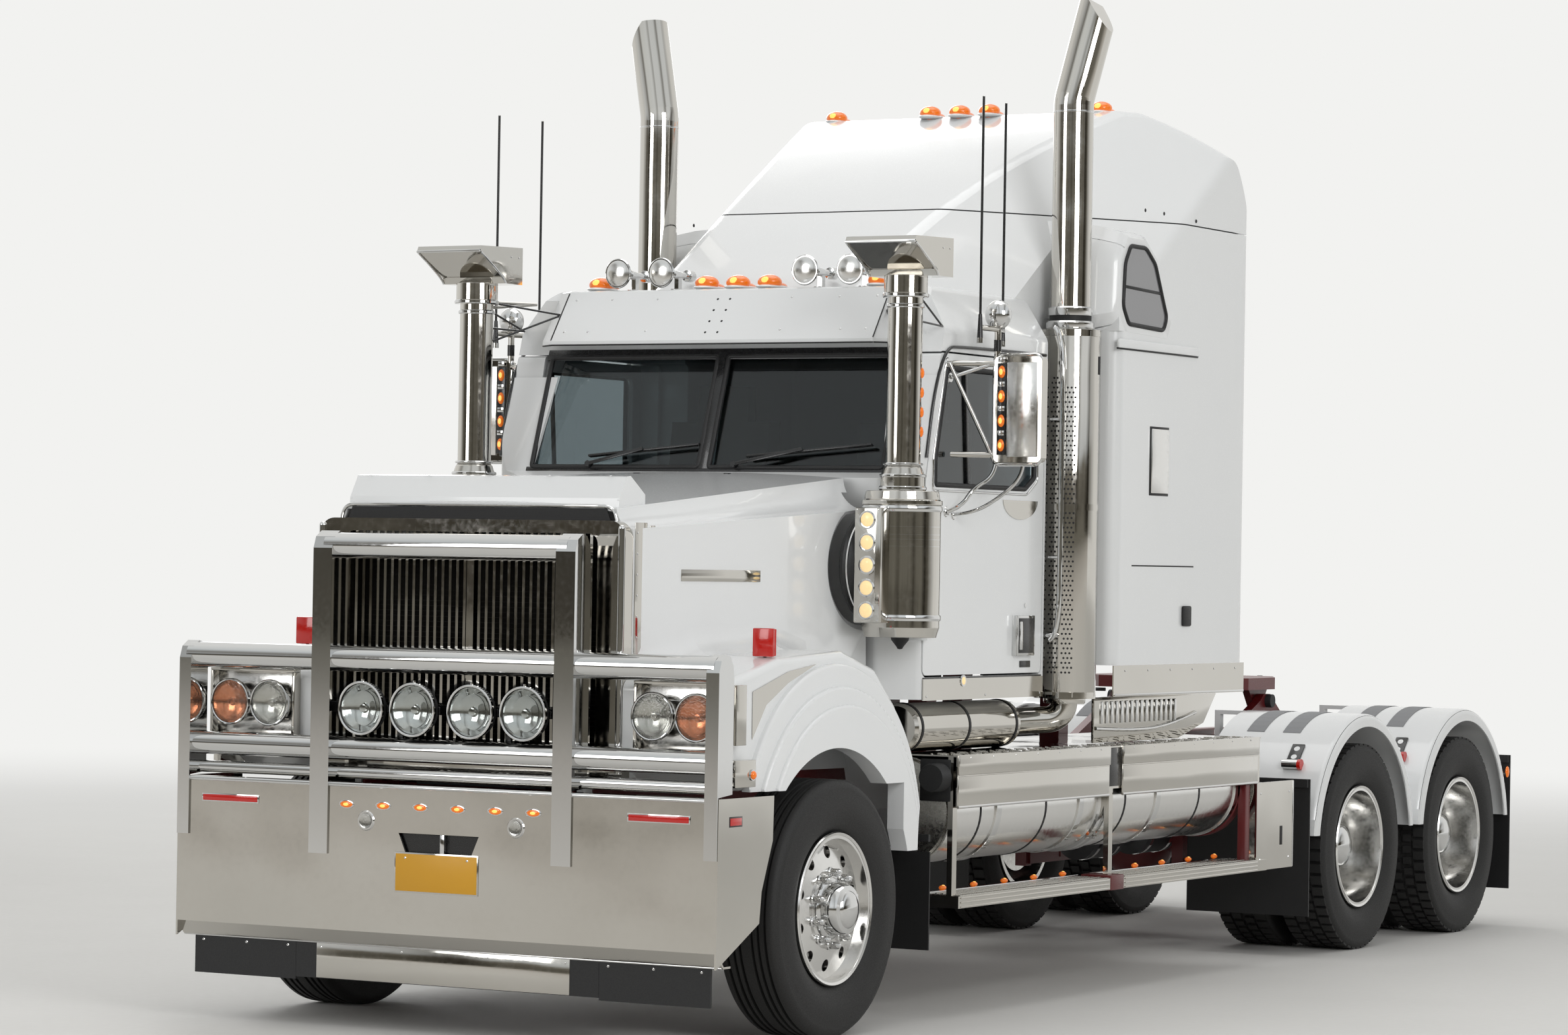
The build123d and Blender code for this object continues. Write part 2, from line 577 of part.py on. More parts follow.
def make_cab():
    cab_outer, cab_inner = cab_volume(0), cab_volume(CAB_WALL)
    roof_outer, roof_inner = roof_volume(0), roof_volume(SLEEPER_WALL)
    box_outer = sleeper_volume(0, SLEEPER_BOTTOM)
    box_inner = sleeper_volume(SLEEPER_WALL, SLEEPER_BOTTOM + SLEEPER_WALL)
    doors_cut = side_cut(offset(rounded(DOOR_OUTLINE, 25), amount=DOOR_GAP), -1500, 1500)
    doorway = block(-1500, 1500, CAB_FRONT, CAB_REAR, CAB_FLOOR, CAB_ROOF) & doors_cut
    skin = cab_outer - cab_inner

    # cab shell: skin without door openings, screens, raised roof and the way through to the sleeper
    shell = skin - doorway - roof_outer
    for pane in screen_opening(0):
        shell -= pane
    shell -= block(-760, 760, CAB_REAR - CAB_WALL - 5, CAB_REAR + 5, CAB_FLOOR + CAB_WALL, CAB_ROOF)
    pin_ears = []
    for z in HINGE_HEIGHTS:
        ear = plan_prism(((1000, 985), (1048, 1003), (HINGE_X + 9, HINGE_Y - 9), (HINGE_X + 9, HINGE_Y + 5),
                          (HINGE_X - 9, HINGE_Y + 5), (1028, 1017), (1000, 1010)), z - 14, z - 2)
        pin = rod((HINGE_X, HINGE_Y, z - 14), (HINGE_X, HINGE_Y, z + HINGE_LENGTH), HINGE_PIN_RADIUS)
        pin_ears += both(ear + pin)
    for piece in pin_ears:
        shell += piece
    export("cab_shell", shell)

    # doors: the skin's own piece inside the door outline, with a cut window and hinge barrels
    window = side_cut(rounded(DOOR_WINDOW, 30), CAB_HALF_WIDTH - 140, CAB_HALF_WIDTH + 60)
    leaf = (skin & side_cut(rounded(DOOR_OUTLINE, 25), CAB_HALF_WIDTH - 140, CAB_HALF_WIDTH + 100)) - window
    for z in HINGE_HEIGHTS:
        barrel = rod((HINGE_X, HINGE_Y, z), (HINGE_X, HINGE_Y, z + HINGE_LENGTH - 5), 13)
        barrel += block(CAB_HALF_WIDTH - 3, HINGE_X + 6, HINGE_Y + 4, HINGE_Y + 50, z, z + HINGE_LENGTH - 5)
        barrel -= rod((HINGE_X, HINGE_Y, z - 5), (HINGE_X, HINGE_Y, z + HINGE_LENGTH),
                      HINGE_PIN_RADIUS + RUNNING_CLEARANCE)
        leaf += barrel
    handle = block(CAB_HALF_WIDTH - 3, CAB_HALF_WIDTH + 22, 1935, 2020, 1480, 1640)
    leaf += handle
    export("door_left", leaf)
    export("door_right", mirrored(leaf))
    glass_x = CAB_HALF_WIDTH - 26
    pane = offset(rounded(DOOR_WINDOW, 30), amount=-SEAT_GAP)
    glass = side_cut(pane, glass_x, glass_x + GLASS_THICKNESS)
    export("door_glass_left", glass)
    export("door_glass_right", mirrored(glass))

    # sleeper shell below the seam, roof cap above it
    hollow = (roof_outer - roof_inner) - box_inner
    seam = block(-1500, 1500, 1000, 4200, SEAM_HEIGHT, CAP_TOP + 100)
    seam_gap = block(-1500, 1500, 1000, 4200, SEAM_HEIGHT - SEAM_GAP, CAP_TOP + 100)
    cap = hollow & seam
    lower = (hollow - seam_gap) + (box_outer - box_inner) - roof_inner
    ports = side_cut(rounded(PORT_WINDOW, 24), -1500, 1500)
    ledge = block(-SLEEPER_HALF_WIDTH + 60, SLEEPER_HALF_WIDTH - 60, SLEEPER_REAR - 44, SLEEPER_REAR - 10,
                  SEAM_HEIGHT - 40, SEAM_HEIGHT)
    lower = lower - ports + ledge
    export("sleeper_shell", lower)
    export("roof_cap", cap)

    # fixed glass: two screen panes and the two port windows
    panes = []
    lean = Vector(0, 1165 - 985, 2775 - SCREEN_BOTTOM).normalized()
    for opening in screen_opening(-0.5):
        sheet = side_prism(((1003, SCREEN_BOTTOM), (1003 + 180, 2775), (1011 + 180, 2775), (1011, SCREEN_BOTTOM)),
                           -1000, 1000)
        panes.append(opening & sheet)
    port = side_cut(offset(rounded(PORT_WINDOW, 24), amount=-SEAT_GAP), SLEEPER_HALF_WIDTH - 30,
                    SLEEPER_HALF_WIDTH - 22)
    export("glazing", panes, both(port))


VISOR_HALF_WIDTH = 790.0
VISOR_WING = 85.0
VISOR_SWEEP = 70.0
VISOR_SECTION = ((1015.0, 2796.0), (1020.0, 2776.0), (1030.0, 2776.0), (1032.0, 2794.0), (1190.0, 3014.0),
                 (1182.0, 3022.0), (1171.0, 3017.0))


def visor_section(x, sweep):
    """The visor's cross section at x, swept back by a distance."""
    plane = Plane(origin=(x, 0, 0), x_dir=(0, 1, 0), z_dir=(1, 0, 0))
    return plane * make_face(Polyline(*[(y + sweep, z) for y, z in VISOR_SECTION], close=True))


def make_visor():
    """Sun visor over the screen with swept-back ends, on brackets from the cab roof."""
    tip = VISOR_HALF_WIDTH + VISOR_WING
    stations = ((-tip, VISOR_SWEEP), (-VISOR_HALF_WIDTH, 0), (VISOR_HALF_WIDTH, 0), (tip, VISOR_SWEEP))
    visor = loft([visor_section(*station) for station in stations], ruled=True)
    for x in (-700, 0, 700):
        visor += block(x - 15, x + 15, 1090, 1226, 2880, 2900)
        visor += block(x - 15, x + 15, 1170, 1290, 3000, 3012)
    export("visor", visor - cab_volume(0))


def make_interior():
    """Floor, dash with steering wheel (right-hand drive), and two seats."""
    floor = block(-990, 990, 970, 2110, CAB_FLOOR + CAB_WALL, CAB_FLOOR + CAB_WALL + 20)
    dash = side_prism(((970, 1700), (970, 2150), (1150, 2120), (1240, 1980), (1180, 1700)), -940, 940)
    leg = block(-200, 200, 970, 1150, CAB_FLOOR + CAB_WALL + 19, 1701)
    shape = floor + dash + leg
    column_low, column_high = (-480, 1150, 1900), (-480, 1360, 2075)
    shape += rod(column_low, column_high, 28)
    wheel_plane = Plane(origin=column_high, z_dir=Vector(*column_high) - Vector(*column_low))
    shape += wheel_plane * Torus(215, 14)
    shape += wheel_plane * Box(430, 30, 10)
    for x in (-480, 480):
        shape += block(x - 200, x + 200, 1600, 1900, CAB_FLOOR + CAB_WALL + 19, 1700)
        shape += block(x - 260, x + 260, 1500, 2020, 1699, 1830)
        shape += side_prism(((1880, 1829), (1960, 2480), (2060, 2480), (2020, 1829)), x - 250, x + 250)
        shape += side_prism(((1975, 2479), (1990, 2640), (2050, 2640), (2050, 2479)), x - 130, x + 130)
    export("cab_interior", shape & cab_volume(CAB_WALL + SEAT_GAP))


# ---------------------------------------------------------------- bonnet
def bonnet_section(y, half, low, shoulder, top, bend, inset):
    """One cross section of the bonnet's body: upright sides, round shoulders and an arched top."""
    if inset:
        low -= 4 * inset
    half, shoulder, top = half - inset, shoulder - inset, top - inset
    crown = top - 22
    outline = Polyline((half, shoulder), (half, low), (-half, low), (-half, shoulder))
    left = RadiusArc((half - bend, crown), (half, shoulder), -bend * 1.08)
    right = RadiusArc((-half, shoulder), (-half + bend, crown), -bend * 1.08)
    arch = ThreePointArc((-half + bend, crown), (0, top), (half - bend, crown))
    plane = Plane(origin=(0, y, 0), x_dir=(1, 0, 0), z_dir=(0, -1, 0))
    return plane * make_face(outline + left + right + arch)


# station y, half width, lower edge, shoulder height, top height, width of the round shoulder
BONNET_SECTIONS = (
    (BONNET_FRONT, BONNET_FRONT_HALF_WIDTH, 1020.0, 1975.0, 2075.0, 78.0),
    (BONNET_REAR, BONNET_REAR_HALF_WIDTH, 1020.0, 2080.0, 2232.0, 130.0),
)


def bonnet_body(inset):
    faces = [bonnet_section(*row, inset) for row in BONNET_SECTIONS]
    return loft(faces, ruled=True)


# fender layers, widest outline first: outer x, then front, top and rear points (y, z) of its arched outline
FENDER_LAYERS = (
    (1175.0, (-620.0, 1000.0), (60.0, 1462.0), (775.0, 900.0), 745.0),
    (1195.0, (-540.0, 992.0), (75.0, 1374.0), (730.0, 880.0), 715.0),
    (1212.0, (-460.0, 992.0), (90.0, 1302.0), (690.0, 840.0), 685.0),
)
FENDER_BOTTOM = 705.0
FENDER_CORE_X = 1150.0
FENDER_CORE = ((600.0, FENDER_BOTTOM), (745.0, FENDER_BOTTOM), (795.0, 860.0), (740.0, 1060.0), (600.0, 1290.0),
               (420.0, 1440.0), (150.0, 1512.0), (-350.0, 1490.0), (-800.0, 1392.0), (-800.0, 1090.0),
               (-640.0, 985.0), (-420.0, 985.0))
COVE_RADIUS = 110.0
DEFLECTOR_HALF_WIDTH = 626.0
DISH_CENTRE = (796.0, 1846.0)
DISH_RADIUS = 500.0
DISH_OFFSET = 420.0


def fender():
    """The left fender: a core behind three stepped arches, hollow below, with its wheel arch cut."""
    core = side_cut(rounded(FENDER_CORE, 40), FENDER_INNER_X - 60, FENDER_CORE_X)
    core = fillet(core.faces().sort_by(Axis.X)[-1].edges(), 28)
    hollow = side_cut(scaled_outline(FENDER_CORE, -BONNET_SKIN), FENDER_INNER_X - 61, FENDER_CORE_X - BONNET_SKIN)
    shape = core
    for outer_x, front, top, rear, low_y in FENDER_LAYERS:
        arch = ThreePointArc(front, top, rear)
        close = Polyline(rear, (low_y, FENDER_BOTTOM), (front[0], FENDER_BOTTOM), front)
        layer = side_cut(make_face(arch + close), FENDER_CORE_X - BONNET_SKIN - 1, outer_x)
        outer_edges = layer.faces().sort_by(Axis.X)[-1].edges().filter_by(GeomType.CIRCLE)
        shape += fillet(outer_edges, 12)
    floor_cut = block(FENDER_INNER_X, 1300, -660, 560, 600, 982)
    wheel = rod((500, 0, AXLE_HEIGHT), (1300, 0, AXLE_HEIGHT), ARCH_RADIUS)
    return shape - hollow - wheel - floor_cut


def cove():
    """The concave flare between the bonnet's left side and the fender's top."""
    faces = []
    for y, top in ((BONNET_FRONT + 2, 1400.0), (-350.0, 1486.0), (150.0, 1508.0), (430.0, 1432.0)):
        share = (y - BONNET_FRONT) / (BONNET_REAR - BONNET_FRONT)
        wall = BONNET_FRONT_HALF_WIDTH + share * (BONNET_REAR_HALF_WIDTH - BONNET_FRONT_HALF_WIDTH)
        radius = COVE_RADIUS
        profile = Polyline((wall + radius, top), (wall + radius, top - 8), (wall - 8, top - 8),
                           (wall - 8, top + radius), (wall, top + radius))
        curve = ThreePointArc((wall, top + radius), (wall + 0.293 * radius, top + 0.293 * radius),
                              (wall + radius, top))
        plane = Plane(origin=(0, y, 0), x_dir=(1, 0, 0), z_dir=(0, -1, 0))
        faces.append(plane * make_face(profile + curve))
    return loft(faces, ruled=True)


def make_bonnet():
    outer, inner = bonnet_body(0), bonnet_body(BONNET_SKIN)
    dish_x = BONNET_REAR_HALF_WIDTH + DISH_OFFSET
    for side in (1, -1):
        outer -= Pos(side * dish_x, *DISH_CENTRE) * Sphere(DISH_RADIUS)
        inner -= Pos(side * dish_x, *DISH_CENTRE) * Sphere(DISH_RADIUS + BONNET_SKIN)
    open_front = block(-BONNET_FRONT_HALF_WIDTH + 60, BONNET_FRONT_HALF_WIDTH - 60, BONNET_FRONT - 30,
                       BONNET_FRONT + 60, 1030, 1950)
    body = outer - inner
    body -= block(-1300, 1300, BONNET_FRONT - 50, BONNET_REAR + 50, 900, 1022)
    body -= block(-BONNET_REAR_HALF_WIDTH + BONNET_SKIN * 2, BONNET_REAR_HALF_WIDTH - BONNET_SKIN * 2,
                  BONNET_REAR - 40, BONNET_REAR + 10, 900, 2150)
    body -= open_front
    wheel_clear = rod((500, 0, AXLE_HEIGHT), (1300, 0, AXLE_HEIGHT), ARCH_RADIUS)
    body -= wheel_clear + mirrored(wheel_clear)
    wing = (fender() - inner) + (cove() - inner)
    shape = body + wing + mirrored(wing)
    pivot_y, pivot_z = BONNET_PIVOT
    lug = side_prism(((pivot_y - 32, pivot_z - 32), (pivot_y + 32, pivot_z - 32), (pivot_y + 32, 1000),
                      (BONNET_FRONT + 40, 1090), (BONNET_FRONT + 4, 1090), (BONNET_FRONT + 4, 1000),
                      (pivot_y - 32, 990)), NOSE_X + 24, NOSE_X + 54)
    lug += block(NOSE_X + 24, BONNET_FRONT_HALF_WIDTH - 5, BONNET_FRONT + 4, BONNET_FRONT + 40, 1030, 1090)
    lug -= rod((NOSE_X, *BONNET_PIVOT), (NOSE_X + 90, *BONNET_PIVOT), PIVOT_PIN_RADIUS + RUNNING_CLEARANCE)
    shape += lug + mirrored(lug)
    deflector = side_prism(((-716, 2052), (-704, 2040), (-600, 2110), (-630, 2180), (-660, 2176), (-710, 2092)),
                           -DEFLECTOR_HALF_WIDTH, DEFLECTOR_HALF_WIDTH)
    gusset = side_prism(((-712, 2085), (-660, 2176), (-630, 2180), (-520, 2110), (-520, 2040), (-700, 1990)),
                        DEFLECTOR_HALF_WIDTH - 12, DEFLECTOR_HALF_WIDTH)
    export("bonnet", shape + deflector + (gusset + mirrored(gusset) - inner))


GRILLE_HALF_WIDTH = 585.0
GRILLE_LOW = 1030.0
GRILLE_HIGH = 1975.0
GRILLE_DEPTH = 58.0
SLAT_PITCH = 34.0
LAMP_HEIGHT = 1266.0
HEAD_LAMP_X = (886.0, 1078.0)


def frame_plate(half, low, high, corner, y0, y1):
    """An upright plate across the truck with its upper corners rounded."""
    points = ((-half, low), (half, low), (half, high), (-half, high))
    face = make_face(Polyline(*points, close=True))
    face = fillet([vertex for vertex in face.vertices() if vertex.Y > low + 1], corner)
    plane = Plane(origin=(0, y0, 0), x_dir=(1, 0, 0), z_dir=(0, -1, 0))
    return extrude(plane * face, -(y1 - y0))


def make_grille():
    """Polished surround with upright slats."""
    y0, y1 = BONNET_FRONT - GRILLE_DEPTH, BONNET_FRONT - SEAT_GAP
    surround = frame_plate(BONNET_FRONT_HALF_WIDTH - 1, GRILLE_LOW - 10, GRILLE_HIGH + 30, 70, y0, y1)
    surround -= frame_plate(GRILLE_HALF_WIDTH, GRILLE_LOW + 20, GRILLE_HIGH - 20, 40, y0 - 1, y1 + 1)
    surround += block(-16, 16, y0 + 10, y1, GRILLE_LOW, GRILLE_HIGH - 10)
    count = int(GRILLE_HALF_WIDTH / SLAT_PITCH)
    for k in range(1, count + 1):
        for side in (1, -1):
            x = side * k * SLAT_PITCH
            surround += block(x - 6, x + 6, y0 + 22, y1, GRILLE_LOW, GRILLE_HIGH - 10)
    export("grille", surround)


def make_head_lamps():
    """Two round head lamps in a recessed pod on each fender's front."""
    pods = []
    for side in (1, -1):
        pod = block(side * 785, side * 1195, -846, -800.5, 1128, 1402)
        pod -= block(side * 797, side * 1183, -850, -812, 1140, 1390)
        for x in HEAD_LAMP_X:
            pod += rod((side * x, -880, LAMP_HEIGHT), (side * x, -811, LAMP_HEIGHT), 94)
        pods.append(pod)
    export("head_lamps", pods)


# ---------------------------------------------------------------- bull bar
INNER_POST_X = 560.0
OUTER_POST_X = 1215.0
# height, half length, radius of each cross tube
BAR_TUBES = ((1895.0, INNER_POST_X, 50.0), (1452.0, OUTER_POST_X, 50.0), (1102.0, OUTER_POST_X, 46.0),
             (1008.0, OUTER_POST_X, 24.0))
BAR_TUBE_Y = BAR_FACE + 46.0
# a post's outline down from its round top: distance behind the face, height below the top
POST_CROWN = ((-8.0, -68.0), (8.0, -23.0), (45.0, 0.0), (75.0, -8.0), (98.0, -43.0), (104.0, -88.0))


def make_bull_bar():
    face = BAR_FACE
    side = side_prism(((face, 335), (face, BUMPER_TOP + 5), (-560, BUMPER_TOP + 5), (-565, 800), (-645, 610),
                       (-660, 490)), BUMPER_HALF_WIDTH - BUMPER_PLATE, BUMPER_HALF_WIDTH)
    plate = side_prism(((face, BUMPER_BOTTOM), (face, BUMPER_TOP), (face + 70, BUMPER_TOP + 5),
                        (face + 70, BUMPER_TOP - 3), (face + BUMPER_PLATE, BUMPER_TOP - 10),
                        (face + BUMPER_PLATE, BUMPER_BOTTOM + 3), (face + 60, 343), (face + 110, 343),
                        (face + 110, 335), (face + 56, 335)),
                       -BUMPER_HALF_WIDTH + 1, BUMPER_HALF_WIDTH - 1)
    plate -= front_prism(((-185, 785), (185, 785), (150, 705), (-150, 705)), face - 20, face + 20)
    bumper = plate + side + mirrored(side)
    # mounting arms back to the frame's lower pivot
    arm = side_prism(((face + 4, 420), (face + 4, 900), (face + 60, 900), (BAR_PIVOT[0] + 32, BAR_PIVOT[1] + 36),
                      (BAR_PIVOT[0] + 32, BAR_PIVOT[1] - 32), (face + 60, 440)),
                     NOSE_X + 24, NOSE_X + 50)
    arm -= rod((NOSE_X, *BAR_PIVOT), (NOSE_X + 90, *BAR_PIVOT), PIVOT_PIN_RADIUS + RUNNING_CLEARANCE)
    bumper += arm + mirrored(arm)
    export("bumper", bumper)

    posts = []
    foot = ((face + 104, 985), (face - 0.5, 975))
    rails = []
    for x, half, low, top in ((INNER_POST_X, 44, 690, 1952), (OUTER_POST_X, 28, 740, 1508)):
        crown = tuple((face + back, top + drop) for back, drop in POST_CROWN)
        outline = ((face - 8, low),) + crown + foot + ((face - 0.5, low),)
        rails.append(side_prism(outline, x - half, x + half))
    inner, outer = rails
    frame_work = inner + outer + mirrored(inner + outer)
    for z, half, radius in BAR_TUBES:
        frame_work += rod((-half, BAR_TUBE_Y, z), (half, BAR_TUBE_Y, z), radius)
    export("bull_bar", frame_work)

    lamp_z, tube_z, tube_radius = 1262, BAR_TUBES[2][0], BAR_TUBES[2][2]
    tube_back = BAR_TUBE_Y + tube_radius + SEAT_GAP
    rail = block(-515, 515, tube_back + 3, tube_back + 15, lamp_z - 20, lamp_z + 20)
    for x in (-250, 250):
        rail += block(x - 12, x + 12, tube_back, tube_back + 15, tube_z, lamp_z)
    for x in (-374, -133, 133, 374):
        rail += rod((x, face - 5, lamp_z), (x, tube_back + 10, lamp_z), 104)
    export("driving_lamps", rail)

    flaps = []
    for low_x, high_x in ((-1190, -700), (700, 1190)):
        flaps.append(block(low_x, high_x, face + 58, face + 68, 186, 334.5))
    middle = block(-699, 699, face + 58, face + 66, 196, 334.5)
    export("air_dam", flaps, middle)


# ---------------------------------------------------------------- sides of the truck
def make_stacks():
    """Upright muffler in its guard, straight stack and turned-out tip, with the elbow below."""
    x, y = STACK_X, STACK_Y
    muffler = rod((x, y, 1290), (x, y, 2894), MUFFLER_RADIUS)
    collar = rod((x, y, 2890), (x, y, 2940), 60)
    pipe = rod((x, y, 2935), (x, y, 3800), STACK_RADIUS)
    tip = bent_bar(((x, y, 3790), (x, y, 3900), (x + 95, y + 45, 4330)), STACK_RADIUS, 180)
    tip -= Plane(origin=(x + 90, y + 45, 4310), z_dir=(0.9, 0.1, 0.55)) * Box(
        600, 600, 300, align=(Align.CENTER, Align.CENTER, Align.MIN))
    elbow = bent_bar(((x, y, 1292), (x, y, 1195), (x - 330, y - 190, 1170)), 58, 80)
    bracket = block(NECK_HALF_WIDTH - 1, x, y - 20, y + 20, 2860, 2880)
    bracket += block(NECK_HALF_WIDTH - 1, x, y - 20, y + 20, 1500, 1520)
    bracket -= sleeper_volume(0, SLEEPER_BOTTOM)
    stack = muffler + collar + pipe + tip + elbow + bracket
    export("exhausts", both(stack))


# air cleaner and snorkel, upwards: radius, height
CLEANER_PROFILE = ((0.0, 1560.0), (CLEANER_RADIUS - 12, 1560.0), (CLEANER_RADIUS, 1600.0), (CLEANER_RADIUS, 2098.0),
                   (CLEANER_RADIUS + 6, 2100.0), (CLEANER_RADIUS + 6, 2118.0), (CLEANER_RADIUS - 4, 2122.0),
                   (CLEANER_RADIUS - 10, 2156.0), (92.0, 2160.0), (92.0, 2216.0), (80.0, 2250.0),
                   (SNORKEL_RADIUS, 2262.0), (SNORKEL_RADIUS, 2950.0), (90.0, 2955.0), (90.0, 3038.0), (0.0, 3038.0))
DUCT_RADIUS = 195.0


def make_air_cleaners():
    """Canister, inlet duct towards the bonnet's dish, snorkel pipe and its rain head."""
    x, y = CLEANER_X, CLEANER_Y
    can = Pos(x, y, 0) * spun(CLEANER_PROFILE, 3, 60)
    can += side_prism(((590, 3165), (790, 3062), (800, 3035), (930, 3035), (930, 3195), (600, 3185)),
                      x - 160, x + 160)
    duct_y, duct_z = DISH_CENTRE
    can += rod((BONNET_REAR_HALF_WIDTH + 15, duct_y, duct_z), (x - 40, duct_y, duct_z), DUCT_RADIUS)
    for z in (1640.0, 2060.0):
        can += block(960, x, y, CAB_FRONT + 60, z, z + 30)
    for z in (2930.0, 2960.0):
        can += rod((x, y, z), (905, 1080, 2960), 7)
    can -= cab_volume(-SEAT_GAP)
    export("air_cleaners", both(can))


def make_sides():
    """Fuel tanks on brackets, decks with their rolled edges, step rails, end plates and skirts."""
    tanks = []
    for side in (1, -1):
        body = rod((side * TANK_X, TANK_FRONT, TANK_Z), (side * TANK_X, TANK_REAR, TANK_Z), TANK_RADIUS)
        for y in (1500.0, 2300.0, 3100.0, 3980.0):
            body += rod((side * TANK_X, y - 25, TANK_Z), (side * TANK_X, y + 25, TANK_Z), TANK_RADIUS + 5)
            body += block(side * (RAIL_OUTER_X + SEAT_GAP), side * (TANK_X - 180), y - 40, y + 40, 770, 870)
        tanks.append(body)
    export("fuel_tanks", tanks)

    deck = TANK_Z + TANK_RADIUS + 5 + SEAT_GAP
    steps = []
    for side in (1, -1):
        shape = block(side * (RAIL_OUTER_X + SEAT_GAP), side * SIDE_X, 1010, 4130, deck, deck + 6)
        for y0, y1 in ((1010, 2470), (2600, 4100)):
            shape += block(side * (SIDE_X - 6), side * SIDE_X, y0, y1, 862, deck + 1)
        shape += block(side * (SIDE_X - 14), side * (SIDE_X - 8), 2460, 2610, 890, deck + 1)
        shape += block(side * 1080, side * (SIDE_X + 13), 1010, 4190, 450, 500)
        for y in (1035.0, 2535.0, 4150.0):
            shape += block(side * 1176, side * 1200, y - 20, y + 20, 480, deck + 1)
        shape += block(side * (SIDE_X - 8), side * SIDE_X, 4095, 4530, 450, 862)
        shape += block(side * 1160, side * (SIDE_X - 2), 4130, 4170, 480, 862)
        steps.append(shape)
        steps.append(block(side * (CAB_HALF_WIDTH + SEAT_GAP), side * (CAB_HALF_WIDTH + 6), 1030, 2150,
                           1296, 1385))
        steps.append(block(side * (SLEEPER_HALF_WIDTH - 6), side * SLEEPER_HALF_WIDTH, SLEEPER_FRONT,
                           SLEEPER_REAR, 1293, SLEEPER_BOTTOM - SEAT_GAP))
    export("side_steps", steps)


def make_mudguards():
    """A hooped guard over each rear wheel pair, on stays from the frame, and the flaps."""
    guards = []
    half_gap = (DRIVE_AXLES[1] - DRIVE_AXLES[0]) / 2
    outer_radius, thickness = 655.0, 8.0
    for side in (1, -1):
        for y in DRIVE_AXLES:
            drum = rod((side * 612, y, AXLE_HEIGHT), (side * 1245, y, AXLE_HEIGHT), outer_radius)
            drum = fillet(drum.edges().sort_by(Axis.X)[-1 if side > 0 else 0], 30)
            ring = drum - rod((side * 600, y, AXLE_HEIGHT), (side * 1237, y, AXLE_HEIGHT),
                              outer_radius - thickness)
            ring -= rod((side * 1200, y, AXLE_HEIGHT), (side * 1260, y, AXLE_HEIGHT), outer_radius - 62)
            ring -= block(side * 500, side * 1400, y - 700, y + 700, -300, 585)
            ring &= block(side * 600, side * 1300, y - half_gap + 2, y + half_gap - 2, 0, 1400)
            ring += block(side * (RAIL_OUTER_X + 0.5), side * 640, y - 20, y + 20,
                          AXLE_HEIGHT + outer_radius - 24, AXLE_HEIGHT + outer_radius - 4)
            ring += block(side * (RAIL_OUTER_X + 0.5), side * (RAIL_OUTER_X + 30), y - 20, y + 20, 900,
                          AXLE_HEIGHT + outer_radius - 12)
            guards.append(ring)
    export("mudguards", guards)
    flaps = []
    rail_side = RAIL_OUTER_X + SEAT_GAP
    for side in (1, -1):
        rear = block(side * 612, side * 1235, 7440, 7450, 190, 900)
        rear += block(side * rail_side, side * 1230, 7420, 7441, 860, 900)
        rear += block(side * rail_side, side * (rail_side + 30), 7200, 7421, 860, 900)
        middle = block(side * 597, side * 1235, 4700, 4710, 200, 860)
        middle += block(side * rail_side, side * 1230, 4680, 4701, 820, 860)
        front = block(side * 900, side * 1200, FLAP_FRONT, FLAP_FRONT + 8, 290, 690)
        front += block(side * rail_side, side * 1190, FLAP_FRONT + 7, FLAP_FRONT + 25, 730, 760)
        front += block(side * 900, side * 960, FLAP_FRONT + 7, FLAP_FRONT + 25, 600, 731)
        flaps += [rear, middle, front]
    export("mud_flaps", flaps)
    tail = block(-425, 425, RAIL_REAR + SEAT_GAP, 7340, 780, 900)
    for x in (-360, -240, 240, 360):
        tail += rod((x, 7339, 840), (x, 7360, 840), 50)
    return tail


# air horn, along its length from the bell's mouth: radius, distance
HORN_PROFILE = ((0.0, 0.0), (62.0, 0.0), (62.0, 10.0), (44.0, 40.0), (22.0, 95.0), (15.0, 160.0), (13.0, 220.0),
                (26.0, 222.0), (26.0, 262.0), (0.0, 262.0))
HORN_X = (-572.0, -355.0, 355.0, 572.0)
HORN_Z = 3098.0
CAB_MARKER_X = (-690.0, -155.0, 0.0, 155.0, 690.0)
CAP_MARKERS = ((-696.0, 3429.0), (696.0, 3429.0), (-155.0, 3350.0), (0.0, 3350.0), (155.0, 3350.0))


def make_roof_fittings(tail_lamps):
    """Air horns and marker lamps; the tail lamps share the marker lamps' node."""
    horns = []
    for x in HORN_X:
        horn = Pos(x, 1205, HORN_Z) * Rot(-90, 0, 0) * spun(HORN_PROFILE, 2, 20)
        horn += block(x - 10, x + 10, 1340, 1370, CAB_ROOF, HORN_Z)
        horns.append(horn)
    export("horns", horns)
    lamps = []
    for x in CAB_MARKER_X:
        lamps.append(fillet(block(x - 52, x + 52, 1240, 1340, CAB_ROOF - 1, CAB_ROOF + 52).edges(), 16)
                     - block(x - 60, x + 60, 1200, 1400, CAB_ROOF - 10, CAB_ROOF))
    for x, y in CAP_MARKERS:
        lamp = fillet(block(x - 52, x + 52, y - 50, y + 50, CAP_TOP - 60, CAP_TOP + 45).edges(), 16)
        lamps.append(lamp - roof_volume(0))
    export("marker_lamps", lamps, tail_lamps)


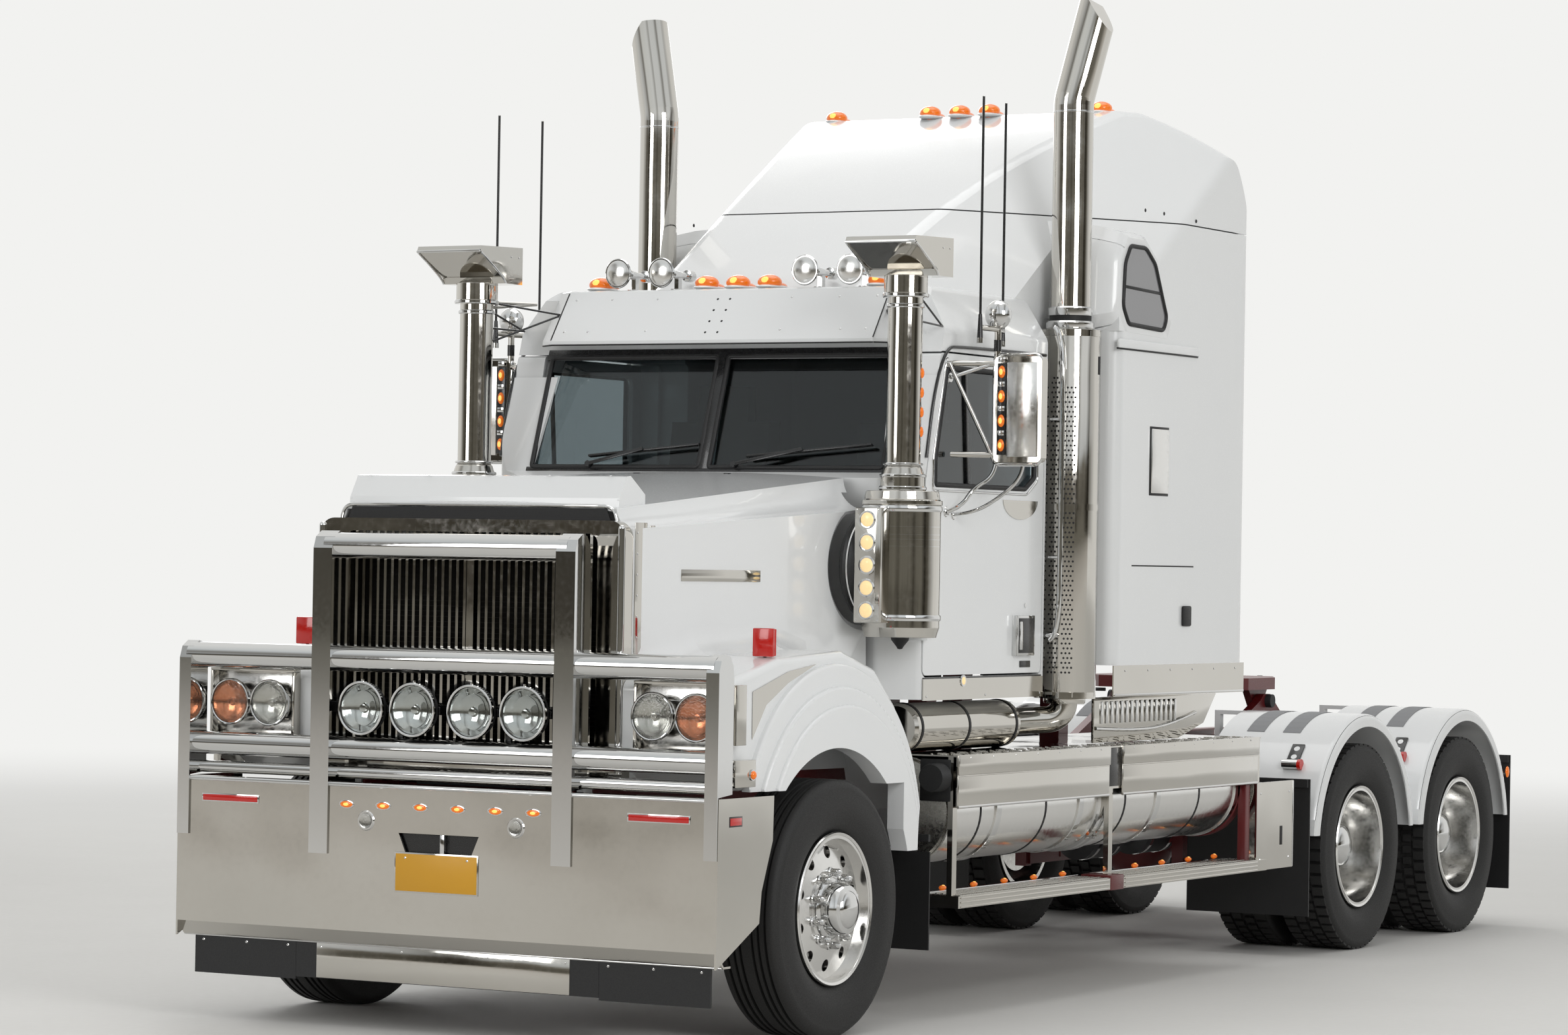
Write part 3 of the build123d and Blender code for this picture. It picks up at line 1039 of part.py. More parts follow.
def make_mirrors():
    """Mirror head on its tubular frame, carried by the door, with two whip aerials."""
    head = block(1200, 1420, 1330, 1385, 2290, 2730)
    shape = fillet(head.edges().filter_by(Axis.Y), 22)
    for z in (2320.0, 2700.0):
        shape += rod((CAB_HALF_WIDTH - 20, 1250, z), (1210, 1350, z), 12)
    shape -= block(900, CAB_HALF_WIDTH + SEAT_GAP, 1100, 1500, 2200, 2800)
    shape += rod((1205, 1347, 2290), (1205, 1347, 2860), 14)
    for x, y in ((1194, 1203), (1153, 1492)):
        shape += rod((1205, 1347, 2845), (x, y, 2845), 12)
        shape += rod((x, y, 2800), (x, y, 3805), 5)
    export("mirror_left", shape)
    export("mirror_right", mirrored(shape))


if __name__ == "__main__":
    make_wheels()
    make_running_gear()
    make_chassis()
    make_cab()
    make_visor()
    make_interior()
    make_bonnet()
    make_grille()
    make_head_lamps()
    make_bull_bar()
    make_stacks()
    make_air_cleaners()
    make_sides()
    make_roof_fittings(make_mudguards())
    make_mirrors()
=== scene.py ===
"""Dresses the bonneted sleeper tractor unit: finishes for the CAD nodes, and pieces that carry its looks."""
import math

import bmesh
import bpy
from bpy.props import FloatProperty, FloatVectorProperty, IntProperty, PointerProperty
from mathutils import Matrix, Vector


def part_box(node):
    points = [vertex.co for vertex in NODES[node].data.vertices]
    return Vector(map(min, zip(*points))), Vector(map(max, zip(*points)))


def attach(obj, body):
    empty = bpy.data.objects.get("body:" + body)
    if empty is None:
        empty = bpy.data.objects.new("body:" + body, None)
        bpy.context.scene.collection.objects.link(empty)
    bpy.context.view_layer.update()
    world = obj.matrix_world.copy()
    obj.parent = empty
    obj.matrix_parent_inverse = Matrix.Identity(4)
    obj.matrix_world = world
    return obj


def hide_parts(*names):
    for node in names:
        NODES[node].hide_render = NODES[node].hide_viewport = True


bl_info = {
    "name": "Bonneted tractor unit",
    "version": (1, 0, 0),
    "blender": (4, 5, 0),
    "location": "View3D > Sidebar > Tractor unit",
    "description": "Builds the dressed tractor unit around its packed frame, piece by piece",
    "category": "Object",
}

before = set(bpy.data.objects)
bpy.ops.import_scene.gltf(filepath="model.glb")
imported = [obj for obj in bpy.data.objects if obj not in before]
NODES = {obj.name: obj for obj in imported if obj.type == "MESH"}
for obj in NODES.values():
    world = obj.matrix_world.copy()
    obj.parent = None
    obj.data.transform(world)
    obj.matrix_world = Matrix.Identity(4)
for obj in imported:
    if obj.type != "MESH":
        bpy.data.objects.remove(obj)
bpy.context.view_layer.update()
TYRE_LOW, TYRE_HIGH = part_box("front_tyre_left")
AXLE_Y = (TYRE_LOW.y + TYRE_HIGH.y) / 2
AXLE_Z = TYRE_HIGH.z / 2
HALF_TRACK = (TYRE_LOW.x + TYRE_HIGH.x) / 2
TYRE_WIDTH = TYRE_HIGH.x - TYRE_LOW.x
SIDES = (("left", 1), ("right", -1))
MM = 0.001
BACK, FRONT, UP = Vector((0, 1, 0)), Vector((0, -1, 0)), Vector((0, 0, 1))
OUT = Vector((1, 0, 0))


def linear(hex_code):
    """A linear colour from an sRGB hex value."""
    channels = [int(hex_code[k:k + 2], 16) / 255 for k in (1, 3, 5)]
    return tuple(c / 12.92 if c <= 0.04045 else ((c + 0.055) / 1.055) ** 2.4 for c in channels) + (1.0,)


# ---- settings that a user would change
def colour_setting(name, description, hex_code):
    """A colour that a user can set, with its default as an sRGB hex value."""
    return FloatVectorProperty(name=name, description=description, subtype="COLOR", size=4, min=0.0, max=1.0,
                               default=linear(hex_code))


class TruckColours(bpy.types.PropertyGroup):
    """Colours of the painted and moulded finishes."""

    body: colour_setting("Body enamel", "Colour of cab, sleeper, bonnet and mudguards", "#E8E9E9")
    chassis: colour_setting("Chassis enamel", "Colour of the frame, axles and fifth wheel", "#6E1518")
    amber: colour_setting("Amber lenses", "Colour of the marker and indicator lenses", "#E8790C")
    plate: colour_setting("Number plate", "Colour of the blank number plate", "#D79E22")
    trim: colour_setting("Cab trim", "Colour of the dash and seats", "#5A5854")


class TruckSizes(bpy.types.PropertyGroup):
    """Sizes of the dressing pieces."""

    rivet_radius: FloatProperty(name="Rivet radius", description="Radius of a body rivet's head",
                                default=7 * MM, min=2 * MM, max=12 * MM, unit="LENGTH")
    lens_radius: FloatProperty(name="Driving lamp radius", description="Radius of a driving lamp's bezel",
                               default=104 * MM, min=60 * MM, max=110 * MM, unit="LENGTH")
    tread_blocks: IntProperty(name="Tread blocks", description="Blocks round a drive tyre", default=54,
                              min=30, max=80)
    step_lamps: IntProperty(name="Step lamps", description="Amber lamps along each half of a step rail",
                            default=5, min=0, max=12)


# ---- materials
def add_node(tree, kind, inputs=None, **settings):
    """Adds one shader node, sets it, and links or fills its inputs."""
    made = tree.nodes.new(kind)
    for key, value in settings.items():
        setattr(made, key, value)
    for key, value in (inputs or {}).items():
        if isinstance(value, bpy.types.NodeSocket):
            tree.links.new(value, made.inputs[key])
        else:
            made.inputs[key].default_value = value
    return made


def surface(name, colour, shade, grain_mm, roughness=(0.3, 0.4), bump=0.0, ripple=0.0, **sockets):
    """A finish: its colour drifts to a shade, its roughness between two values, over a grain of a real size.

    Ripple is the height in mm of the slow waves that a hand-polished sheet or a moulded panel has."""
    material = bpy.data.materials.new(name)
    material.use_nodes = True
    tree = material.node_tree
    tree.nodes.clear()
    spot = add_node(tree, "ShaderNodeTexCoord").outputs["Object"]
    grain = add_node(tree, "ShaderNodeTexNoise", {"Vector": spot, "Scale": 1000.0 / grain_mm, "Detail": 3.0})
    drift = add_node(tree, "ShaderNodeTexNoise", {"Vector": spot, "Scale": 1.3, "Detail": 4.0})
    mix = add_node(tree, "ShaderNodeMix", {"Factor": drift.outputs["Fac"]}, data_type="RGBA")
    mix.inputs["A"].default_value = colour
    mix.inputs["B"].default_value = shade
    span = {"From Min": 0.3, "From Max": 0.7, "To Min": roughness[0], "To Max": roughness[1]}
    rough = add_node(tree, "ShaderNodeMapRange", {"Value": grain.outputs["Fac"], **span})
    inputs = {"Base Color": mix.outputs["Result"], "Roughness": rough.outputs["Result"]}
    relief = None
    if bump:
        relief = add_node(tree, "ShaderNodeBump", {"Height": grain.outputs["Fac"], "Strength": bump,
                                                   "Distance": grain_mm * MM * 0.3})
    if ripple:
        waves = add_node(tree, "ShaderNodeTexNoise", {"Vector": spot, "Scale": 2.2, "Detail": 1.0})
        below = {"Normal": relief.outputs["Normal"]} if relief else {}
        relief = add_node(tree, "ShaderNodeBump", {"Height": waves.outputs["Fac"], "Strength": 1.0,
                                                   "Distance": ripple * MM, **below})
    if relief:
        inputs["Normal"] = relief.outputs["Normal"]
    shader = add_node(tree, "ShaderNodeBsdfPrincipled", {**inputs, **sockets})
    add_node(tree, "ShaderNodeOutputMaterial", {"Surface": shader.outputs["BSDF"]})
    return material


# every finish made so far, by name
MATERIALS = {}


def lit(colour, strength, coat=0.0):
    """The sockets of a lens or cap that glows, under a clear coat."""
    return {"Coat Weight": coat, "Emission Color": linear(colour), "Emission Strength": strength}


def make_materials(colours):
    """Every finish on the truck, by name."""
    def finish(name, colour, shade, *rest, **sockets):
        tone = linear(colour) if isinstance(colour, str) else tuple(colour)
        MATERIALS[name] = surface(name, tone, linear(shade), *rest, **sockets)

    clear = {"Transmission Weight": 1.0, "IOR": 1.5}

    # two-pack enamel, sprayed and polished: a deep gloss with a fine orange peel
    finish("body_enamel", colours.body, "#E1E3E4", 3.0, (0.20, 0.28), 0.04, 2.0,
           **{"Coat Weight": 0.6, "Coat Roughness": 0.04})
    # chassis enamel, brushed on castings: satin, a little uneven
    finish("chassis_enamel", colours.chassis, "#4B0F12", 6.0, (0.34, 0.5), 0.15,
           **{"Coat Weight": 0.3, "Coat Roughness": 0.25})
    # mirror-polished stainless sheet: grey and warm, with slow waves that bend what it mirrors
    finish("polished_stainless", "#CFCCC6", "#C2BFB8", 25.0, (0.04, 0.10), 0.0, 9.0, Metallic=1.0)
    # bright chrome on turned and drawn parts
    finish("bright_chrome", "#DADAD9", "#CFCFCE", 20.0, (0.03, 0.07), Metallic=1.0)
    # buffed forged aluminium of the wheels
    finish("buffed_aluminium", "#E6E5E3", "#DAD9D6", 18.0, (0.12, 0.24), 0.0, 1.0, Metallic=1.0)
    # brushed aluminium of the tanks and step treads, dulled by use
    finish("brushed_aluminium", "#CBC9C3", "#BDBAB4", 12.0, (0.2, 0.34), 0.04, 2.0, Metallic=1.0)
    # first-surface mirror glass
    finish("mirror_glass", "#B9BDBF", "#B2B6B8", 400.0, (0.01, 0.02), Metallic=1.0)
    # black gloss paint on brackets, wiper arms and screen surrounds; the same black also stands as painted
    # shade in slots, gaps and recesses
    finish("black_gloss_and_painted_shade", "#101011", "#161617", 3.0, (0.22, 0.34), 0.05, **{"Coat Weight": 0.3})
    # painted cast iron of engine and hubs
    finish("painted_iron", "#2B2C2E", "#1D1D1F", 2.5, (0.5, 0.7), 0.3)
    # vulcanised tyre rubber: dark, dusty in its pores
    finish("tyre_rubber", "#191919", "#222120", 4.0, (0.55, 0.78), 0.2)
    # extruded and moulded rubber of flaps, seals and ducts
    finish("moulded_rubber", "#141415", "#1C1C1D", 5.0, (0.45, 0.62), 0.12)
    # tinted laminated glass: dark and clear
    finish("tinted_glass", "#A3ADB0", "#9AA4A7", 400.0, (0.01, 0.02), **{**clear, "IOR": 1.45})
    # grey privacy glass of the sleeper's port windows
    finish("privacy_glass", "#77777A", "#6D6D70", 400.0, (0.05, 0.1), **{"Coat Weight": 0.8})
    # pressed clear lens glass
    finish("lens_glass", "#F2F5F4", "#EAEEED", 12.0, (0.01, 0.03), 0.03, **clear)
    # fluted lens glass: fine ribs that break up the reflector
    finish("fluted_glass", "#F2F2EE", "#E6E6E2", 9.0, (0.03, 0.08), 0.6, **clear)
    # fluted glass with a warm coat
    finish("warm_glass", "#F6CDB4", "#EFBB9C", 9.0, (0.03, 0.08), 0.6, **clear)
    # moulded amber acrylic, lit from inside in the lamps; on the amber coupling cap its glow is a painted
    # glow
    finish("amber_acrylic", colours.amber, "#C9620A", 8.0, (0.12, 0.2), 0.06,
           **lit("#E86A08", 0.35, coat=0.6))
    # the lamp's bright middle behind amber acrylic
    finish("amber_glow", "#F5A83A", "#F09A2C", 8.0, (0.2, 0.3), **lit("#FFC56B", 1.1))
    # warm white courtesy lamps
    finish("warm_glow", "#F4DCA8", "#EBCB8C", 8.0, (0.2, 0.3), 0.05, **lit("#FFD9A0", 0.45, coat=0.5))
    # moulded red acrylic with a faint glow: lit in the lamps, a painted glow on the reflectors and the red
    # coupling cap
    finish("red_acrylic", "#C4180F", "#A5120C", 8.0, (0.12, 0.2), 0.06, **lit("#C4180F", 0.12, coat=0.6))
    # reflective sheet of a blank number plate
    finish("plate_sheet", colours.plate, "#C48F1E", 6.0, (0.35, 0.5), 0.05)
    # grey grip tape
    finish("grip_tape", "#8F9092", "#7F8082", 3.0, (0.6, 0.8), 0.3)
    # grained thermoplastic of dash and seat shells
    finish("cab_trim", colours.trim, "#45433F", 2.0, (0.55, 0.75), 0.25)
    # sealed ribbed fins of the radiator, black and dull; the same black also stands as painted shade in
    # holes, slots and openings
    finish("radiator_black_and_painted_shade", "#0B0B0C", "#111112", 2.0, (0.5, 0.7), 0.3)


# the record's material slot that each finish stands for
SLOT_OF = {
    "body_enamel": "white_paint",
    "chassis_enamel": "red_chassis_paint",
    "polished_stainless": "polished_steel",
    "bright_chrome": "polished_steel",
    "mirror_glass": "polished_steel",
    "buffed_aluminium": "bare_aluminium",
    "brushed_aluminium": "bare_aluminium",
    "black_gloss_and_painted_shade": "black_rubber",
    "painted_iron": "dark_iron",
    "tyre_rubber": "tyre_rubber",
    "moulded_rubber": "black_rubber",
    "tinted_glass": "tinted_glass",
    "privacy_glass": "tinted_glass",
    "lens_glass": "lamp_lens",
    "fluted_glass": "lamp_lens",
    "warm_glass": "lamp_lens",
    "amber_acrylic": "amber_lens",
    "amber_glow": "amber_lens",
    "warm_glow": "lamp_lens",
    "red_acrylic": "amber_lens",
    "plate_sheet": "trim_plastic",
    "grip_tape": "black_rubber",
    "cab_trim": "trim_plastic",
    "radiator_black_and_painted_shade": "dark_iron",
}

# the CAD nodes that wear each finish
NODE_FINISH = {
    "body_enamel": ("cab_shell", "sleeper_shell", "roof_cap", "visor", "bonnet", "mudguards", "door_left",
                    "door_right"),
    "chassis_enamel": ("frame", "axles", "fifth_wheel"),
    "polished_stainless": ("grille", "bumper", "exhausts", "air_cleaners", "side_steps", "mirror_left",
                           "mirror_right"),
    "bright_chrome": ("horns", "bull_bar"),
    "buffed_aluminium": ("fuel_tanks", "front_wheel_left", "front_wheel_right", "rear_wheel_1_left",
                         "rear_wheel_1_right", "rear_wheel_2_left", "rear_wheel_2_right"),
    "painted_iron": ("engine", "knuckle_left", "knuckle_right"),
    "tyre_rubber": ("front_tyre_left", "front_tyre_right", "rear_tyres_1_left", "rear_tyres_1_right",
                    "rear_tyres_2_left", "rear_tyres_2_right"),
    "moulded_rubber": ("air_dam", "mud_flaps"),
    "tinted_glass": ("glazing", "door_glass_left", "door_glass_right"),
    "lens_glass": ("head_lamps", "driving_lamps"),
    "amber_acrylic": ("marker_lamps",),
    "cab_trim": ("cab_interior",),
}


# ---- mesh helpers
# places are measured from the front axle, and Group.done moves each mesh into the shared frame
class Group:
    """The meshes of one group of pieces, one for each finish, that ride on one body."""

    def __init__(self, name, body):
        self.name, self.body, self.meshes = name, body, {}

    def __getitem__(self, finish):
        if finish not in self.meshes:
            self.meshes[finish] = bmesh.new()
        return self.meshes[finish]

    def mirror(self, keep=True):
        """Adds the mirror image of all that the group holds, or turns it into that."""
        for bm in self.meshes.values():
            source = bm.verts[:] + bm.edges[:] + bm.faces[:]
            geom = bmesh.ops.duplicate(bm, geom=source)["geom"] if keep else source
            verts = [item for item in geom if isinstance(item, bmesh.types.BMVert)]
            bmesh.ops.scale(bm, vec=(-1, 1, 1), verts=verts)
            bmesh.ops.reverse_faces(bm, faces=[item for item in geom if isinstance(item, bmesh.types.BMFace)])

    def done(self, replaces=(), smooth=30.0):
        """Makes each mesh a piece; with the first, the CAD nodes it replaces are hidden."""
        for finish, bm in self.meshes.items():
            bmesh.ops.translate(bm, vec=(0.0, AXLE_Y, 0.0), verts=bm.verts)
            mesh = bpy.data.meshes.new(f"{self.name}_{finish}")
            bm.to_mesh(mesh)
            bm.free()
            mesh.materials.append(MATERIALS[finish])
            obj = bpy.data.objects.new(mesh.name, mesh)
            bpy.context.scene.collection.objects.link(obj)
            mesh.shade_smooth()
            mesh.set_sharp_from_angle(angle=math.radians(smooth))
            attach(obj, self.body)
            SLOT_OF[finish]
            if replaces:
                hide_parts(*replaces)
                replaces = ()


def bevel_all(bm, verts, width, segments=2):
    """Rounds every edge that meets these vertices."""
    edges = list(dict.fromkeys(edge for vert in verts for edge in vert.link_edges))
    bmesh.ops.bevel(bm, geom=edges, offset=width, segments=segments, profile=0.5, affect="EDGES", material=-1)


def add_slab(bm, low, high, bevel=0.0, segments=2):
    """A box between two corners with rounded edges."""
    low, high = Vector(low), Vector(high)
    size = high - low
    matrix = Matrix.Translation((low + high) / 2) @ Matrix.Diagonal((*map(abs, size), 1.0))
    made = bmesh.ops.create_cube(bm, size=1.0, matrix=matrix)
    if bevel:
        bevel_all(bm, made["verts"], bevel, segments)


def add_beam(bm, start, end, width, depth, face=UP, bevel=0.0):
    """A flat bar from one point to another; face is the way its depth is measured."""
    start, end = Vector(start), Vector(end)
    along = (end - start).normalized()
    across = along.cross(Vector(face)).normalized()
    normal = across.cross(along)
    turn = Matrix((across * width, along * (end - start).length, normal * depth)).transposed().to_4x4()
    made = bmesh.ops.create_cube(bm, size=1.0, matrix=Matrix.Translation((start + end) / 2) @ turn)
    if bevel:
        bevel_all(bm, made["verts"], bevel)


def add_turned(bm, profile, centre, axis, steps=32):
    """A closed shape spun from (along, radius) points about an axis through a centre."""
    axis = Vector(axis).normalized()
    across = axis.orthogonal().normalized()
    centre = Vector(centre)
    verts = [bm.verts.new(centre + axis * along + across * radius) for along, radius in profile]
    edges = [bm.edges.new(pair) for pair in zip(verts, verts[1:])]
    before = set(bm.faces)
    bmesh.ops.spin(bm, geom=verts + edges, cent=centre, axis=axis, angle=2 * math.pi, steps=steps,
                   use_merge=True)
    faces = [face for face in bm.faces if face not in before]
    ring = list(dict.fromkeys(vert for face in faces for vert in face.verts))
    bmesh.ops.remove_doubles(bm, verts=ring, dist=0.01 * MM)
    faces = [face for face in bm.faces if face not in before]
    bmesh.ops.recalc_face_normals(bm, faces=faces)


def add_rod(bm, start, end, radius, segments=16, tip=None):
    """A round bar, or a cone where a tip radius is given."""
    start, end = Vector(start), Vector(end)
    along = end - start
    matrix = Matrix.Translation((start + end) / 2) @ along.to_track_quat("Z", "Y").to_matrix().to_4x4()
    bmesh.ops.create_cone(bm, cap_ends=True, segments=segments, radius1=radius,
                          radius2=radius if tip is None else tip, depth=along.length, matrix=matrix)


def add_ball(bm, centre, radii, segments=24, rings=14):
    """An ellipsoid of three radii."""
    matrix = Matrix.Translation(Vector(centre)) @ Matrix.Diagonal((*radii, 1.0))
    bmesh.ops.create_uvsphere(bm, u_segments=segments, v_segments=rings, radius=1.0, matrix=matrix)


def add_pipe(bm, points, radius, closed=False, order=3, steps=8):
    """A tube along one smooth curve through the neighbourhood of its points."""
    curve = bpy.data.curves.new("pipe", "CURVE")
    curve.dimensions = "3D"
    curve.resolution_u = steps
    spline = curve.splines.new("NURBS")
    spline.points.add(len(points) - 1)
    for knot, point in zip(spline.points, points):
        knot.co = (*point, 1.0)
    spline.order_u = order
    spline.use_endpoint_u = not closed
    spline.use_cyclic_u = closed
    curve.bevel_depth = radius
    curve.bevel_resolution = 4
    curve.use_fill_caps = True
    holder = bpy.data.objects.new("pipe", curve)
    mesh = bpy.data.meshes.new_from_object(holder)
    before = set(bm.verts)
    bm.from_mesh(mesh)
    added = [vert for vert in bm.verts if vert not in before]
    faces = list(dict.fromkeys(face for vert in added for face in vert.link_faces))
    bmesh.ops.recalc_face_normals(bm, faces=faces)
    bpy.data.objects.remove(holder)
    bpy.data.curves.remove(curve)
    bpy.data.meshes.remove(mesh)
    return added


def add_plate(bm, outline, thickness, bevel=0.0):
    """A flat plate from a closed outline of points, thickened along its normal."""
    verts = [bm.verts.new(Vector(point)) for point in outline]
    face = bm.faces.new(verts)
    face.normal_update()
    normal = face.normal.copy()
    top = bmesh.ops.extrude_face_region(bm, geom=[face])["geom"]
    raised = [item for item in top if isinstance(item, bmesh.types.BMVert)]
    bmesh.ops.translate(bm, vec=normal * thickness, verts=raised)
    faces = list(dict.fromkeys(face for vert in verts + raised for face in vert.link_faces))
    bmesh.ops.recalc_face_normals(bm, faces=faces)
    if bevel:
        bevel_all(bm, verts + raised, bevel)


def add_band(bm, low, high, inner, outer, centre, axis, steps):
    """A plain ring round an axis, between two places along it and two radii."""
    add_turned(bm, ((low, inner), (low, outer), (high, outer), (high, inner), (low, inner)), centre, axis,
               steps)


def add_rivet(bm, spot, normal, radius, proud=0.45):
    """A round rivet head on a surface."""
    add_turned(bm, ((0.0, 0.0), (0.0, radius), (radius * proud * 0.6, radius * 0.8), (radius * proud, 0.0)),
               spot, normal, steps=8)


def add_lamp(group, spot, face, radius, depth, lens, bowl="painted_iron", steps=36):
    """A round lamp: bowl, bezel, reflector, bulb cap and a domed lens; face is the way it shines."""
    back = -Vector(face)
    spot = Vector(spot)
    clear = radius * 0.93
    add_turned(group[bowl], ((6 * MM, clear), (8 * MM, radius), (depth * 0.45, radius * 0.96),
                             (depth * 0.8, radius * 0.74), (depth, radius * 0.4), (depth, 0.0),
                             (depth * 0.9, 0.0), (depth * 0.72, radius * 0.7), (12 * MM, clear),
                             (6 * MM, clear)), spot, back, steps)
    chrome = group["bright_chrome"]
    add_turned(chrome, ((2 * MM, clear), (0.0, radius * 0.97), (2 * MM, radius * 1.01),
                        (14 * MM, radius * 1.015), (16 * MM, clear), (2 * MM, clear)), spot, back, steps)
    add_turned(chrome, ((13 * MM, clear * 0.98), (depth * 0.38, radius * 0.8), (depth * 0.62, radius * 0.52),
                        (depth * 0.78, 0.0), (depth * 0.82, 0.0), (depth * 0.66, radius * 0.54),
                        (15 * MM, clear * 0.99), (13 * MM, clear * 0.98)), spot, back, steps)
    add_turned(chrome, ((depth * 0.22, 0.0), (depth * 0.24, radius * 0.15), (depth * 0.4, radius * 0.2),
                        (depth * 0.42, 0.0)), spot, back, 16)
    add_turned(group[lens], ((-1 * MM, 0.0), (0.5 * MM, clear * 0.6), (3 * MM, clear), (6 * MM, clear),
                             (3.5 * MM, clear * 0.6), (2 * MM, 0.0)), spot, back, steps)


def add_marker(group, spot, size=1.0):
    """A cab marker lamp: an amber dome with a lit middle at the front of a drop-shaped foot."""
    x, y, z = spot
    mm = MM * size
    foot = Vector((x, y + 36 * mm, z + 10 * mm))
    add_ball(group["amber_acrylic"], (x, y, z + 22 * mm), (54 * mm, 50 * mm, 34 * mm))
    add_ball(group["amber_glow"], (x, y - 20 * mm, z + 27 * mm), (30 * mm, 32.5 * mm, 21 * mm), 16, 10)
    add_ball(group["amber_acrylic"], foot, (46 * mm, 88 * mm, 19 * mm))
    add_ball(group["body_enamel"], foot - Vector((0, 12 * mm, 8 * mm)), (60 * mm, 100 * mm, 13 * mm))


class PieceOperator:
    """What every operator here shares."""

    bl_options = {"REGISTER", "UNDO"}


# ---- finishes of the CAD nodes
class TRUCK_OT_finishes(PieceOperator, bpy.types.Operator):
    """Gives every CAD node its finish"""

    bl_idname = "truck.finishes"
    bl_label = "Finishes"

    def execute(self, context):
        make_materials(context.scene.truck_colours)
        for finish, names in NODE_FINISH.items():
            for name in names:
                mesh = NODES[name].data
                mesh.materials.clear()
                mesh.materials.append(MATERIALS[finish])
        return {"FINISHED"}


# ---- tyres
# across the tyre as a share of its half width, radius in metres: bead, sidewall, shoulder, tread ribs
SIDEWALL = ((0.70, 0.300), (0.80, 0.312), (0.90, 0.335), (0.98, 0.372), (1.00, 0.400), (0.985, 0.440),
            (0.955, 0.468), (0.955, 0.474), (0.90, 0.492), (0.84, 0.499))
RIBS = (0.62, 0.40, 0.20, 0.0)
GROOVE_DEPTH = 14 * MM
GROOVE_WIDTH = 0.05
# rows of tread blocks: inner and outer edge as a share of the half width, length as a share of the pitch
BLOCK_ROWS = ((0.46, 0.86, 0.72), (0.06, 0.38, 0.62), (-0.38, -0.06, 0.62), (-0.86, -0.46, 0.72))


def tyre_profile(ribbed):
    """Half of the tyre's outline, from the bead to the tread's middle."""
    points = list(SIDEWALL)
    tread = AXLE_Z
    if not ribbed:
        return points + [(0.80, tread - GROOVE_DEPTH), (0.0, tread - GROOVE_DEPTH)]
    points.append((0.78, tread - 1.5 * MM))
    for share in RIBS[:-1]:
        points += [(share + GROOVE_WIDTH, tread), (share + GROOVE_WIDTH * 0.7, tread - GROOVE_DEPTH),
                   (share - GROOVE_WIDTH * 0.7, tread - GROOVE_DEPTH), (share - GROOVE_WIDTH, tread)]
    return points + [(0.0, tread)]


def add_tyre(bm, x, y, ribbed, blocks):
    """One tyre about its middle: a ribbed tread, or rows of blocks round a plain one."""
    half = TYRE_WIDTH / 2
    whole = [(share * half, radius) for share, radius in tyre_profile(ribbed)]
    whole += [(-along, radius) for along, radius in reversed(whole[:-1])]
    whole += [(-0.6 * half, 0.286), (0.6 * half, 0.286), whole[0]]
    centre = Vector((x, y, AXLE_Z))
    add_turned(bm, whole, centre, OUT, steps=96)
    if ribbed:
        return
    pitch = 2 * math.pi / blocks
    for row, (low, high, length) in enumerate(BLOCK_ROWS):
        middle = Vector(((low + high) / 2 * half, 0, AXLE_Z - GROOVE_DEPTH / 2 - 1 * MM))
        size = ((high - low) * half, AXLE_Z * pitch * length, GROOVE_DEPTH + 2 * MM, 1)
        for k in range(blocks):
            turn = Matrix.Rotation(pitch * (k + 0.5 * (row % 2)), 4, "X")
            spot = Matrix.Translation(centre) @ turn @ Matrix.Translation(middle)
            bmesh.ops.create_cube(bm, size=1.0, matrix=spot @ Matrix.Diagonal(size))


class TRUCK_OT_tyres(PieceOperator, bpy.types.Operator):
    """Spins ribbed steer tyres and block-treaded drive tyres"""

    bl_idname = "truck.tyres"
    bl_label = "Tyres"

    def execute(self, context):
        blocks = context.scene.truck_sizes.tread_blocks
        for name, side in SIDES:
            steer = Group(f"steer_tyre_{name}", f"front_wheel_{name}_body")
            add_tyre(steer["tyre_rubber"], side * HALF_TRACK, 0.0, True, blocks)
            steer.done([f"front_tyre_{name}"])
            for row in (1, 2):
                low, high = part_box(f"rear_tyres_{row}_{name}")
                drive = Group(f"drive_tyres_{row}_{name}", f"rear_wheel_{row}_{name}_body")
                for x in (low.x + TYRE_WIDTH / 2, high.x - TYRE_WIDTH / 2):
                    add_tyre(drive["tyre_rubber"], x, (low.y + high.y) / 2 - AXLE_Y, False, blocks)
                drive.done([f"rear_tyres_{row}_{name}"])
        return {"FINISHED"}


# ---- wheel trim
NUTS = 10
NUT_CIRCLE = 142.5 * MM
VALVE_CIRCLE = 0.245
# how far the wheel's disc lies outwards of the wheel's middle
STEER_DISC = 92 * MM
DRIVE_DISC = 10 * MM
# nut cap, hub covers and rim lip: distance outwards, radius
NUT_CAP = ((0.0, 0.0), (0.0, 0.021), (0.006, 0.0205), (0.010, 0.016), (0.040, 0.0155), (0.052, 0.009),
           (0.055, 0.0))
STEER_COVER = ((0.098, 0.0), (0.098, 0.119), (0.103, 0.121), (0.108, 0.115), (0.112, 0.106), (0.165, 0.101),
               (0.176, 0.094), (0.180, 0.074), (0.186, 0.070), (0.192, 0.062), (0.200, 0.035), (0.203, 0.0))
DRIVE_COVER = ((0.016, 0.0), (0.016, 0.118), (0.022, 0.121), (0.030, 0.116), (0.150, 0.112), (0.190, 0.107),
               (0.208, 0.094), (0.222, 0.066), (0.229, 0.034), (0.231, 0.0))
RIM_LIP = ((0.110, 0.296), (0.118, 0.302), (0.124, 0.298), (0.120, 0.288), (0.110, 0.284), (0.110, 0.296))


